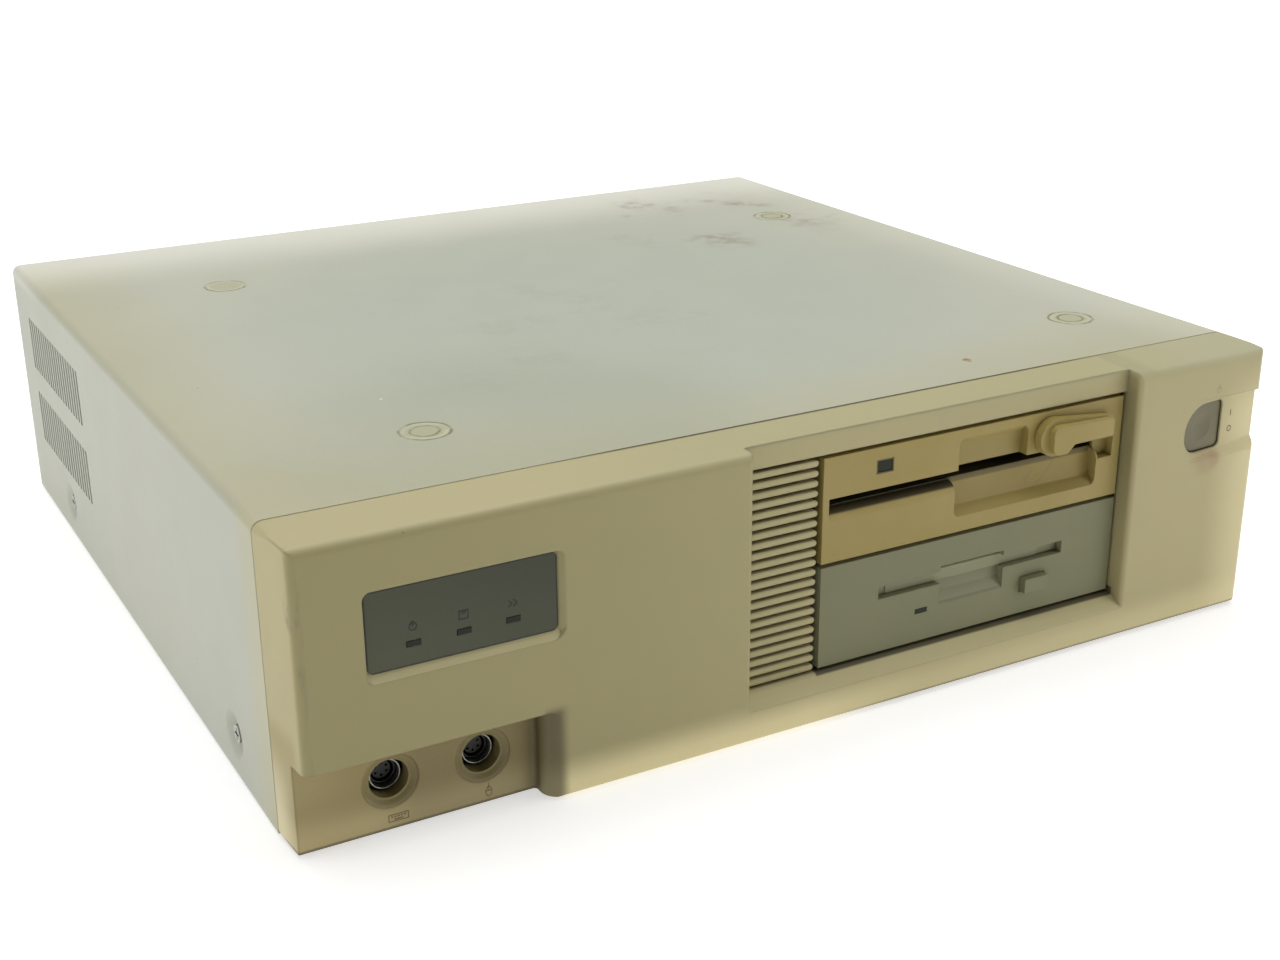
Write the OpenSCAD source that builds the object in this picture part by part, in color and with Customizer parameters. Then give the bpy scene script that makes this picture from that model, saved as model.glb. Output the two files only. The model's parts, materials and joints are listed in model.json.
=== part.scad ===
// Desktop computer of about 1990: low steel case, moulded front, two diskette drives.
// Every module is drawn in the case frame: X from the left side of the cover,
// Y back from the seam between front and cover, Z up from the underside of the chassis.

/* [Case] */
// Width of the steel cover
case_w = 428; // [422:1:450]
// Depth of the steel cover, seam to rear edge
case_d = 384; // [380:1:410]
// Height of the cover above the underside of the chassis
case_h = 115.5; // [113:0.5:130]
// Thickness of the cover sheet
sheet_t = 1.2; // [1:0.1:1.5]
// Outside radius of the two long bends of the cover
bend_r = 4; // [3:0.5:6]
// Thickness of the chassis sheet
tray_t = 1.2; // [1:0.1:1.5]
// Height of the feet below the chassis
foot_h = 1.5; // [1:0.5:6]
// Radius of a foot
foot_r = 9; // [6:0.5:12]
// How far the cover stands out behind the rear panel
rear_rim = 6; // [6:0.5:10]

/* [Side vents and cover screws] */
// Number of slots in one row of the side vent
vent_count = 20; // [10:1:22]
// Pitch of the vent slots
vent_pitch = 5.2; // [4.6:0.1:5.6]
// Width of one vent slot
vent_w = 2.6; // [2:0.1:3]
// Height of one vent slot
vent_h = 25.5; // [20:0.5:28]
// Distance of the vent from the rear edge of the cover
vent_rear = 26.5; // [20:0.5:40]
// Height of the lower row of slots
vent_z = 33; // [32:0.5:36]
// Distance between the two rows
vent_row = 37.5; // [34:0.5:40]
// Radius of the dish pressed round each cover screw
dish_r = 10; // [8:0.5:11]
// Depth of that dish
dish_d = 3; // [2.4:0.1:3.4]
// Height of the cover screws
screw_z = 16.5; // [14:0.5:18]
// Distance of the front cover screws from the seam
screw_front = 46; // [40:1:60]
// Distance of the rear cover screws from the rear edge
screw_rear = 78; // [70:1:90]

/* [Front] */
// Depth of the moulded front
bezel_d = 26.5; // [25:0.5:32]
// Wall of the moulded front
bezel_wall = 2.5; // [2:0.1:2.8]
// How much each side narrows towards the front
bezel_taper = 2.5; // [0.5:0.5:3]
// How much the top falls towards the front
bezel_drop = 1.2; // [0.5:0.1:2]
// Radius along the front edges
bezel_edge = 3.5; // [2:0.5:4]
// Gap between front and cover
seam_gap = 0.5; // [0.3:0.1:0.8]
// Width of the strip with the ventilation bars, left of the front plates
strip_w = 34.9; // [33:0.1:37]
// Depth of the drive recess
channel_d = 7.5; // [6:0.5:9]
// Fall of the sill from the front plates to its outer edge
sill_drop = 6; // [4:0.5:9]
// Number of ventilation bars beside the drives
bar_count = 22; // [16:1:24]
// Depth of the ventilation bars
bar_depth = 8; // [5:0.5:9]

/* [Name panel, button and front sockets] */
// Left edge of the name panel
badge_x = 26.5; // [22:0.5:40]
// Distance of the name panel from the top of the cover
badge_drop = 21; // [18:0.5:24]
// Width of the name panel
badge_w = 69.5; // [66:0.5:74]
// Height of the name panel
badge_h = 29.5; // [26:0.5:32]
// Width of the slope below the name panel
badge_sill = 3; // [2:0.1:6]
// Width of the slope right of the name panel
badge_flank = 2.4; // [1:0.1:5]
// Pitch of the three indicator lamps
lamp_pitch = 18; // [14:0.5:19]
// Distance of the power button's middle from the right side
button_side = 33.6; // [31:0.1:36]
// Distance of the power button's middle from the top of the cover
button_drop = 30.1; // [27:0.1:33]
// Width of the power button
button_w = 21.2; // [18:0.1:23]
// Height of the power button
button_h = 20; // [17:0.1:22]
// Travel of the power button
button_travel = 4; // [2:0.5:5]
// Width of the recess for the front sockets
port_w = 90; // [86:0.5:94]
// Height of the recess for the front sockets
port_h = 34.5; // [32:0.5:38]
// Depth of the recess for the front sockets
port_d = 10.5; // [9:0.5:11]
// Distance of the first front socket from the left side
socket_x = 35.5; // [34:0.5:38]
// Distance between the two front sockets
socket_pitch = 34.5; // [28:0.5:36]
// Height of the front sockets
socket_z = 18.8; // [17:0.1:20]
// Radius of the hole in front of a socket
socket_r = 7.25; // [7:0.05:8]
// Depth of the tube behind that hole
tube_d = 8; // [5:0.5:9]
// Depth of the dish round that hole
dish_in = 1.7; // [1:0.1:1.9]

/* [Drives] */
// Width of a drive's front plate
plate_w = 146; // [145:0.1:147]
// Distance of the drives' front plates from the right side
bay_side = 73.1; // [70:0.1:76]
// Distance of the upper front plate from the top of the cover
bay_drop = 11.5; // [10:0.1:12]
// Gap round the front plates
bay_gap = 1.5; // [1:0.1:1.8]
// Height of the lower, 3.5 inch drive's front plate
small_h = 41.5; // [41:0.1:42]
// Height of the upper, 5.25 inch drive's front plate
wide_h = 42.4; // [42:0.1:43]
// Gap between the two front plates
plate_gap = 1.6; // [1.5:0.1:2]
// Thickness of the front plates
plate_t = 7; // [6:0.5:8]
// Length of the 5.25 inch drive behind its plate
wide_len = 190; // [180:1:200]
// Length of the 3.5 inch drive behind its plate
small_len = 146; // [130:1:160]
// Height of the body of each drive
body_h = 40; // [39:0.1:40.5]
// Clear height of the wide diskette slot
wide_slot = 4.4; // [4.3:0.1:5]
// Height of the pivot of the drive lever above the plate's lower edge
lever_z = 32.4; // [31.5:0.1:33]
// Distance of that pivot from the plate's right edge
lever_side = 38; // [36:0.1:40]
// Length of the lever from its pivot
lever_len = 29.6; // [26:0.1:32]
// Radius of the lever's hub
hub_r = 7.8; // [6.5:0.1:8]
// Drop of the diskette clamp while the lever turns
clamp_travel = 3; // [1.5:0.1:3.5]
// Travel of the heads
head_travel = 18; // [10:1:20]

/* [Inside] */
// Height of the main board above the chassis floor
standoff_h = 6; // [5:0.5:8]
// Thickness of the circuit boards
board_t = 1.6; // [1.2:0.1:2]
// Width of the power supply
psu_w = 150; // [140:1:152]
// Length of the power supply
psu_l = 150; // [140:1:156]
// Height of the power supply
psu_h = 86; // [82:1:96]
// Pitch of the expansion cards
slot_pitch = 20.32; // [20:0.01:20.5]
// Height of the lowest expansion card
slot_z = 25; // [25:0.5:27]
// Number of expansion slots
slot_count = 4; // [3:1:4]
// Radius of the fan rotor
fan_r = 37; // [32:0.5:37.5]
// Number of fan blades
blade_count = 7; // [5:1:9]
// Radius of the fan shaft
shaft_r = 1.5; // [1.2:0.1:2]

/* [Hidden] */

$fn = 48;
eps = 0.01;      // lets a cutter run past the face that it opens
over = 5;        // a cutter's run past the outside of the object
screw_len = 6;   // shank of a cover screw
fit = 0.3;       // gap between pieces that slide past each other by hand
run = 0.05;      // radial gap of a shaft in its bearing
front_y = -bezel_d;
wall_y = 5;                                   // front face of the chassis front wall
panel_y = case_d - rear_rim - tray_t;         // inner face of the rear panel
tray_x0 = sheet_t + fit;
tray_x1 = case_w - sheet_t - fit;
flange_h = 28;
bay_x = case_w - bay_side - plate_w;
bay_z = case_h - bay_drop - wide_h - plate_gap - small_h;
badge_z = case_h - badge_drop - badge_h;
button_z = case_h - button_drop;
channel_x = bay_x - strip_w;
sill_z = bay_z - sill_drop;
floor_y = front_y + channel_d;                // floor of the drive recess, face of the plates
port_y = front_y + port_d;
plate_back = floor_y + plate_t;
wide_z = bay_z + small_h + plate_gap;
bay_top = wide_z + wide_h;
bay_right = bay_x + plate_w;
open_z0 = bay_z - bay_gap;
open_z1 = bay_top + bay_gap;
open_x1 = bay_right + bay_gap;
channel_x1 = open_x1 + 0.2;
bars_x0 = channel_x + 3;
bars_x1 = bay_x - bay_gap - 0.9;
bar_pitch = (open_z1 - open_z0) / (bar_count + 0.4);
bar_h = bar_pitch * 0.6;
button_x = case_w - button_side;
lamp_z = badge_z + 8;
lamp_x = badge_x + badge_w / 2 - lamp_pitch;
lamp_size = [5, 2];
// cage of the two drives
cage_t = 1;
cage_side = 0.45;                             // gap between a drive and the cage
cage_x0 = bay_x - cage_side;
cage_x1 = bay_right + cage_side;
cage_y1 = plate_back + wide_len - 12;
cage_top = wide_z + body_h + 0.7;
ledge_w = 7;
cage_foot = 6;
// boards
board_z = tray_t + standoff_h;
board_top = board_z + board_t;
riser_x = 140;
socket_len = 126;
socket_depth = 8.5;
socket_h = 8.4;
riser_y1 = panel_y - 11;
riser_y0 = riser_y1 - socket_len - 6;
slot_x0 = 22;
bracket_x0 = 14;
bracket_x1 = riser_x - 6;
bracket_h = 18.4;
psu_x1 = case_w - dish_d - screw_len - 1;      // clear of the cover screws' ends
psu_x0 = psu_x1 - psu_w;
psu_y0 = panel_y - psu_l;
psu_t = 1;
fan_x = psu_x0 + 46;
fan_z = tray_t + psu_h / 2;
fan_box = 80;
fan_t = 25;
inlet_x = psu_x1 - 32;
inlet_z = fan_z + 19;
outlet_z = fan_z - 19;
inlet_w = 27;
inlet_h = 20;
// drives, measured from the lower left front corner of their plates
wide_slot_z = 21.4;
lever_x = plate_w - lever_side;
wide_slot_x = [2.8, plate_w - 11];
spindle_x = plate_w / 2;
spindle_y = plate_t + 76;
heads_y = spindle_y + 44;                      // front of the head carriage
heads_l = 26;
clamp_y = spindle_y;
clamp_half = 8;
clamp_z = 30.4;
groove_x = 2.2;
hub_top = 19.4;
cam_r = 2.4;
cam_throw = 3;
cam_gap = 0.9;                                // the cam lifts faster than the bar at half turn
small_slot_z = 22.5;
small_slot_h = 5.2;
small_slot_x = [plate_w / 2 - 45.7, plate_w / 2 + 46.1];
small_x0 = plate_w / 2 - 51;
small_x1 = plate_w / 2 + 51;
small_spin_y = plate_t + 58;
eject_x = plate_w / 2 + 31.6;
eject_z = 12.8;
speaker_t = 18;
disk_w = 101.6;
disk_l = 146;
disk_x = cage_x0 - cage_t - cage_foot - 4 - disk_w;
disk_y = wall_y + tray_t + speaker_t + 2;
disk_z = 50;
card_len = panel_y - 3 - disk_y - disk_l - 32;
port_card_len = card_len - 40;
card_chip_pitch = 28;
card_chip_rows = floor((port_card_len - 14) / card_chip_pitch);
// front
badge_depth = 1.9;
badge_t = 0.8;
lamp_board_y = front_y + 12;
lamp_boss_x = [badge_x + 6, badge_x + badge_w - 6];
port_board_y = 3;
tube_t = 1.6;
port_round = 7;                               // radius of the recess's outer edges
well_r = socket_r + 3.1;                      // outer radius of the dished rings
port_boss_x = [socket_x - 11, socket_x + socket_pitch + 11];
boss_places = [[14, 52], [108, case_h - 15.5], [channel_x - 8, 22], [channel_x - 8, case_h - 17.5],
    [case_w - 62, 8.5], [case_w - 20, 50], [case_w - 52, case_h - 8.5]];
hollow_d = 4.6;                               // finger hollow beside the power button
button_stem_r = 3.5;
button_back = wall_y + 3;
speaker_x = 50;
speaker_z = case_h - 53.5;
speaker_r = 28;
flap_y = 3.4;
flap_pin_z = small_slot_z + small_slot_h - 0.5;
flap_pin_r = 0.9;
// fastening and rear
drive_screw_y = [plate_back + 46, plate_back + 106];
board_x0 = 12;
board_x1 = cage_x0 - cage_t - cage_foot - 1.45;
board_x2 = psu_x0 - 6;
board_y0 = 100;
board_y1 = cage_y1 + 10;
board_y2 = panel_y - 5;
standoff_places = [[board_x0 + 8, board_y0 + 8], [104, 200], [board_x1 - 8, board_y0 + 8],
    [board_x0 + 8, 236], [board_x1 - 8, riser_y0 + 13], [board_x0 + 8, board_y2 - 9],
    [board_x2 - 8, board_y1 + 30], [board_x2 - 8, board_y2 - 25]];
port_flange = [53, 31];                       // widths of the two ports on the main board
port_room = (psu_x0 - bracket_x1 - port_flange[0] - port_flange[1]) / 3;
rear_port_list = [[bracket_x1 + port_room + port_flange[0] / 2, port_flange[0]],
    [psu_x0 - port_room - port_flange[1] / 2, port_flange[1]]];
port_mid_z = board_top + 6.4;
chip_x = [riser_x + 7, board_x2 - 48, board_x2 - 28];
grey_steel = "#b9bab6";
beige = "#cfc6a3";

// ---------- helpers ----------
// Places a module drawn in the case frame with the object's origin at its base centre.
module in_case() {
    translate([-case_w / 2, (bezel_d - case_d) / 2, foot_h]) children();
}
// Block between two opposite corners
module slab(a, b) {
    translate(a) cube(b - a);
}
module rod_x(p, r, len) {
    translate(p) rotate([0, 90, 0]) cylinder(r = r, h = len);
}
module rod_y(p, r, len) {
    translate(p) rotate([-90, 0, 0]) cylinder(r = r, h = len);
}
module rod_z(p, r, len) {
    translate(p) cylinder(r = r, h = len);
}
// Sweeps a drawing in X and Z from y0 back to y1
module upright(y0, y1) {
    translate([0, y1, 0]) rotate([90, 0, 0]) linear_extrude(y1 - y0) children();
}
// Sweeps a drawing in Y and Z from x0 to x1
module along_x(x0, x1) {
    translate([x0, 0, 0]) rotate([90, 0, 90]) linear_extrude(x1 - x0) children();
}
module flat(z0, z1) {
    translate([0, 0, z0]) linear_extrude(z1 - z0) children();
}
function unit(v) = v / norm(v);
// Points of an arc that rounds the corner b between a and c
function corner(a, b, c, r, n = 8) = r <= 0 ? [b] :
    let (u = unit(a - b), v = unit(c - b), half = acos(u * v) / 2,
        mid = b + unit(u + v) * r / sin(half),
        p = b + u * r / tan(half), q = b + v * r / tan(half),
        a0 = atan2(p[1] - mid[1], p[0] - mid[0]), a1 = atan2(q[1] - mid[1], q[0] - mid[0]),
        sweep = (a1 - a0 + 540) % 360 - 180)
    [for (i = [0:n]) mid + r * [cos(a0 + sweep * i / n), sin(a0 + sweep * i / n)]];
// Outline with each corner rounded by its own radius
function rounded(points, radii, n = 8) = let (m = len(points))
    [for (i = [0:m - 1])
        each corner(points[(i + m - 1) % m], points[i], points[(i + 1) % m], radii[i], n)];
module rounded_box(x0, z0, x1, z1, r) {
    polygon(rounded([[x0, z0], [x1, z0], [x1, z1], [x0, z1]], [r, r, r, r]));
}
// Inverted U of the cover: straight feet, two rounded shoulders
module arch(x0, x1, z0, z1, r) {
    translate([x0, z0]) square([x1 - x0, z1 - z0 - r]);
    translate([x0 + r, z0]) square([x1 - x0 - 2 * r, z1 - z0]);
    for (x = [x0 + r, x1 - r])
        translate([x, z1 - r]) circle(r);
}
// The two sides at which a cover screw sits, with the outward face of each
module cover_screw_places() {
    for (side = [0, 1], y = [screw_front, case_d - screw_rear])
        translate([side * case_w, y, screw_z])
            rotate([0, 0, side * 180]) children();
}
module at_drive(z) {
    translate([bay_x, floor_y, z]) children();
}

// ---------- case ----------
module top_cover() {
    dish_land = 4.6;
    color(grey_steel) in_case() difference() {
        union() {
            difference() {
                upright(seam_gap, case_d) arch(0, case_w, 0, case_h, bend_r);
                upright(0, case_d + over)
                    arch(sheet_t, case_w - sheet_t, -over, case_h - sheet_t, bend_r - sheet_t);
            }
            cover_screw_places() rod_x([0, 0, 0], dish_r + sheet_t, dish_d + sheet_t);
        }
        cover_screw_places() {
            translate([-eps, 0, 0]) rotate([0, 90, 0])
                cylinder(r1 = dish_r, r2 = dish_land, h = dish_d + eps);
            rod_x([0, 0, 0], 2.3, 2 * over);
        }
        for (row = [0, 1], i = [0:vent_count - 1])
            slab([-over, case_d - vent_rear - (i + 0.5) * vent_pitch - vent_w / 2,
                    vent_z + row * vent_row],
                [sheet_t + eps, case_d - vent_rear - (i + 0.5) * vent_pitch + vent_w / 2,
                    vent_z + row * vent_row + vent_h]);
    }
}

module cover_screws() {
    head_h = 2.2;
    color("silver") in_case() cover_screw_places() difference() {
        union() {
            rod_x([dish_d - head_h, 0, 0], 3.6, head_h);
            rod_x([dish_d - eps, 0, 0], 1.9, screw_len);
        }
        for (turn = [0, 90]) rotate([turn, 0, 0])
            slab([dish_d - head_h - eps, -2.4, -0.5], [dish_d - head_h + 1.2, 2.4, 0.5]);
    }
}

// Outside of the moulded front: plan, side and front outlines together
module bezel_block() {
    intersection() {
        flat(0, case_h) polygon(rounded(
            [[0, 0], [bezel_taper, front_y], [case_w - bezel_taper, front_y], [case_w, 0]],
            [0, bezel_edge, bezel_edge, 0]));
        along_x(0, case_w) polygon(rounded(
            [[0, 0], [0, case_h], [front_y, case_h - bezel_drop], [front_y, 0]],
            [0, 0, bezel_edge, 1]));
        upright(front_y, 0) polygon(rounded(
            [[0, 0], [case_w, 0], [case_w, case_h], [0, case_h]], [2, 3, bend_r, bend_r]));
    }
}
// Space behind the moulded front, before the recesses push into it
module bezel_hollow() {
    inner_y = front_y + bezel_wall;
    flat(bezel_wall, case_h - bezel_wall - bezel_drop) polygon(
        [[bezel_wall, over], [bezel_wall, 0], [bezel_wall + bezel_taper, inner_y],
            [case_w - bezel_wall - bezel_taper, inner_y], [case_w - bezel_wall, 0],
            [case_w - bezel_wall, over]]);
}
// Recess that holds the bars and the drives, open at the top
module drive_recess() {
    edge = 2;
    intersection() {
        flat(0, case_h + over) polygon(concat(
            [[channel_x1 + over, front_y - over], [channel_x1 + over, front_y]],
            corner([channel_x1 + over, front_y], [channel_x1, front_y],
                [channel_x1, floor_y], edge),
            [[channel_x1, floor_y], [channel_x, floor_y]],
            corner([channel_x, floor_y], [channel_x, front_y],
                [channel_x - over, front_y], edge),
            [[channel_x - over, front_y], [channel_x - over, front_y - over]]));
        along_x(channel_x - over, channel_x1 + over) polygon(
            [[front_y - over, sill_z - 3], [front_y, sill_z], [floor_y, open_z0],
                [floor_y, case_h + over], [front_y - over, case_h + over]]);
    }
}
// Recess for the front sockets, open at the left and below
module port_recess() {
    edge = port_round;
    intersection() {
        flat(-over, port_h + eps) polygon(concat(
            [[-over, front_y - over], [port_w + edge + over, front_y - over],
                [port_w + edge + over, front_y]],
            corner([port_w + edge + over, front_y], [port_w, front_y], [port_w, port_y], edge),
            corner([port_w, front_y], [port_w, port_y], [0, port_y], 1.5),
            [[-over, port_y]]));
        upright(front_y - over, port_y + eps) polygon(rounded(
            [[-2 * over, -2 * over], [port_w + edge, -2 * over], [port_w + edge, port_h],
                [-2 * over, port_h]], [0, 0, edge, 0]));
    }
}
// Finger hollow beside the power button: runs out to the right side
module button_hollow() {
    x0 = button_x - button_w / 2 + 2;
    intersection() {
        flat(0, case_h) polygon([[x0, front_y - over], [x0, front_y],
            [case_w + over, front_y + hollow_d], [case_w + over, front_y - over]]);
        upright(front_y - over, 0) polygon(rounded(
            [[x0 - 6, button_z - 16], [case_w + over, button_z - 16],
                [case_w + over, button_z + 12], [x0 - 6, button_z + 12]], [9, 0, 0, 9]));
        // the lower wall slopes out to the front
        along_x(0, case_w + over) polygon([[front_y - over, button_z - 20],
            [front_y + hollow_d, button_z - 9], [front_y + hollow_d, button_z + 13],
            [front_y - over, button_z + 13]]);
    }
}
// Bites the lower right corner of the front round, less and less towards the seam
module corner_bite() {
    r = 4.5;
    translate([case_w - bezel_taper, front_y, 0])
        rotate([-6.5, 0, -atan(bezel_taper / bezel_d)]) difference() {
            slab([-r, -over, -over], [over, bezel_d + over, r]);
            rod_y([-r, -over - 1, r], r, bezel_d + 3 * over);
        }
}
module button_outline(grow) {
    w = button_w / 2 + grow;
    h = button_h / 2 + grow;
    polygon(rounded([[-w, -h], [w, -h], [w, h], [-w, h]],
        [7 + grow, 2 + grow, 2 + grow, 11 + grow]));
}
// Pocket of the name panel: steep at the left and top, with a slope at the right and below
module badge_pocket(depth) {
    steep = 0.4;
    x1 = badge_x + badge_w;
    z1 = badge_z + badge_h;
    intersection() {
        flat(0, case_h) polygon(
            [[badge_x - steep, front_y - eps], [badge_x, front_y + depth],
                [x1, front_y + depth], [x1 + badge_flank, front_y - eps]]);
        along_x(0, case_w / 2) polygon(
            [[front_y - eps, badge_z - badge_sill], [front_y + depth, badge_z],
                [front_y + depth, z1], [front_y - eps, z1 + steep]]);
        upright(front_y - over, 0) polygon(rounded([[badge_x - steep, badge_z - badge_sill],
            [x1 + badge_flank, badge_z - badge_sill], [x1 + badge_flank, z1 + steep],
            [badge_x - steep, z1 + steep]], [3, 5, 3, 3]));
    }
}

// Walls of the moulded front with all that is cut from them
module front_shell() {
    skin = bezel_wall;
    lip_t = 2;
    lip_y = wall_y - 0.6;
    difference() {
        union() {
            difference() {
                bezel_block();
                difference() {
                    bezel_hollow();
                    slab([channel_x - skin, front_y, 0],
                        [channel_x1 + skin, floor_y + skin, case_h]);
                    slab([0, front_y, 0], [port_w + skin, port_y + skin, port_h + skin]);
                    slab([badge_x - 3, front_y, badge_z - 3], [badge_x + badge_w + 3,
                            front_y + badge_depth + skin, badge_z + badge_h + 3]);
                    slab([button_x - 18, front_y, button_z - 16],
                        [case_w, front_y + hollow_d + skin, button_z + 14]);
                }
            }
            // rim that slips inside the cover
            difference() {
                upright(-skin, lip_y) arch(tray_x0, tray_x1, fit, case_h - sheet_t - fit,
                    bend_r - sheet_t);
                upright(-2 * skin, lip_y + over) arch(tray_x0 + lip_t, tray_x1 - lip_t,
                    fit + lip_t, case_h - sheet_t - fit - lip_t, 0.6);
            }
            for (p = boss_places)
                rod_y([p[0], front_y + skin / 2, p[1]], 3.5, wall_y - front_y - skin / 2);
            for (x = lamp_boss_x)
                rod_y([x, front_y + badge_depth + 1, badge_z + badge_h / 2], 2.2,
                    lamp_board_y - front_y - badge_depth - 1);
            for (x = port_boss_x)
                rod_y([x, port_y + 1, socket_z + 8], 2.2, port_board_y - port_y - 1);
        }
        drive_recess();
        port_recess();
        button_hollow();
        corner_bite();
        badge_pocket(badge_depth);
        // window for the bars and the two drives
        slab([bars_x0, front_y, open_z0], [open_x1, 0, open_z1]);
        // holes that hold the wells of the two sockets
        for (i = [0, 1])
            rod_y([socket_x + i * socket_pitch, port_y - 1, socket_z], well_r, over);
        for (i = [0:2])
            slab([lamp_x + i * lamp_pitch - lamp_size[0] / 2 - 0.1, front_y,
                    lamp_z - lamp_size[1] / 2 - 0.1],
                [lamp_x + i * lamp_pitch + lamp_size[0] / 2 + 0.1, front_y + 8,
                    lamp_z + lamp_size[1] / 2 + 0.1]);
        translate([button_x, 0, button_z]) upright(front_y - over, -over)
            button_outline(0.4);
    }
}
// Corner of the moulded front round the socket recess, a moulding of its own with its bosses
module bay_corner() {
    slab([-over, front_y - over, -over],
        [port_w + port_round, port_y + bezel_wall, port_h + port_round]);
    for (x = port_boss_x)
        rod_y([x, port_y, socket_z + 8], 2.2 + fit, port_board_y - port_y + 1);
}
module front_bezel() {
    color(beige) in_case() difference() {
        front_shell();
        bay_corner();
    }
}
module socket_bay() {
    color(beige) in_case() intersection() {
        front_shell();
        bay_corner();
    }
}

// Dished rings set flush in the moulded front, each with a tube that a plug passes through
module socket_wells() {
    color(beige) in_case() for (i = [0, 1])
        translate([socket_x + i * socket_pitch, port_y, socket_z]) rotate([-90, 0, 0])
            rotate_extrude() polygon([[well_r, 0], [well_r, bezel_wall],
                [socket_r + tube_t, bezel_wall], [socket_r + tube_t, tube_d], [socket_r, tube_d],
                [socket_r, dish_in], [socket_r + 0.9, dish_in]]);
}

// Comb of flat bars: free round ends beside the drives, joined by two ribs behind
module louvre_grille() {
    color(beige) in_case() {
        for (i = [0:bar_count - 1]) {
            z = open_z0 + (i + 0.4) * bar_pitch + 0.1;
            upright(floor_y, floor_y + bar_depth) {
                translate([bars_x0 + fit, z]) square([bars_x1 - bars_x0 - fit - bar_h / 2, bar_h]);
                translate([bars_x1 - bar_h / 2, z + bar_h / 2]) circle(bar_h / 2);
            }
        }
        for (x = [bars_x0 - 2, bars_x1 - 6])
            slab([x, floor_y + bezel_wall, open_z0 - 2.5],
                [x + 4, floor_y + bar_depth + 2, open_z1 + 2.5]);
    }
}

module name_panel() {
    y = front_y + badge_depth;
    color("#55605c") in_case() difference() {
        upright(y - badge_t, y) rounded_box(badge_x + 0.1, badge_z + 0.1,
            badge_x + badge_w - 0.1, badge_z + badge_h - 0.1, 2.4);
        for (i = [0:2])
            slab([lamp_x + i * lamp_pitch - lamp_size[0] / 2 - 0.1, y - 2,
                    lamp_z - lamp_size[1] / 2 - 0.1],
                [lamp_x + i * lamp_pitch + lamp_size[0] / 2 + 0.1, y + 1,
                    lamp_z + lamp_size[1] / 2 + 0.1]);
    }
}

module lamp_lenses() {
    color("#3c4238") in_case() for (i = [0:2])
        slab([lamp_x + i * lamp_pitch - lamp_size[0] / 2, front_y + badge_depth - badge_t - 0.2,
                lamp_z - lamp_size[1] / 2],
            [lamp_x + i * lamp_pitch + lamp_size[0] / 2, lamp_board_y - 3,
                lamp_z + lamp_size[1] / 2]);
}

module lamp_board() {
    color("darkgreen") in_case() {
        slab([badge_x + 2, lamp_board_y, lamp_z - 5],
            [badge_x + badge_w - 2, lamp_board_y + board_t, badge_z + badge_h - 6]);
        for (i = [0:2])
            slab([lamp_x + i * lamp_pitch - 2.2, lamp_board_y - 3, lamp_z - 1.4],
                [lamp_x + i * lamp_pitch + 2.2, lamp_board_y + eps, lamp_z + 1.4]);
        slab([badge_x + 28, lamp_board_y + board_t - eps, badge_z + 14],
            [badge_x + 42, lamp_board_y + board_t + 6, badge_z + 20]);
    }
}

module chassis_tray() {
    tab_x = dish_d + sheet_t + fit;
    color("#9a9d98") in_case() difference() {
        union() {
            slab([tray_x0, wall_y, 0], [tray_x1, panel_y + tray_t, tray_t]);
            for (x = [tray_x0, tray_x1 - tray_t])
                slab([x, wall_y, 0], [x + tray_t, panel_y, flange_h]);
            // front wall
            slab([tray_x0, wall_y, 0], [tray_x1, wall_y + tray_t, flange_h]);
            slab([tray_x0 + 3, wall_y, 0], [tray_x1 - 3, wall_y + tray_t, case_h - 4]);
            slab([tray_x0 + 3, wall_y, case_h - 4 - tray_t],
                [tray_x1 - 3, wall_y + 9, case_h - 4]);
        }
        // each cover screw finds its tab behind a notch in the flange
        cover_screw_places()
            slab([-over, -dish_r - 2.5, tray_t - screw_z],
                [tray_x0 + tray_t + eps, dish_r + 2.5, flange_h]);
        slab([cage_x0, 0, bay_z - cage_t], [cage_x1, over * 4, cage_top]);
        for (i = [0:4])
            slab([bars_x0 + 2, 0, open_z0 + 4 + i * 17], [cage_x0 - 4, over * 2, open_z0 + 15 + i * 17]);
        slab([socket_x - 12, 0, socket_z - 7], [socket_x + socket_pitch + 12, over * 2, socket_z + 11]);
        slab([badge_x + 24, 0, badge_z + 10], [badge_x + 46, over * 2, badge_z + 24]);
        rod_y([button_x, 0, button_z], 5, over * 2);
        for (i = [-2:2])
            slab([speaker_x - 16, 0, speaker_z + i * 7 - 1.5],
                [speaker_x + 16, over * 2, speaker_z + i * 7 + 1.5]);
    }
    color("#9a9d98") in_case() cover_screw_places() difference() {
        slab([tab_x, -9, tray_t - screw_z - eps], [tab_x + 1.5, 9, flange_h - screw_z]);
        rod_x([tab_x - 1, 0, 0], 1.95, 4);
    }
}

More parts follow.
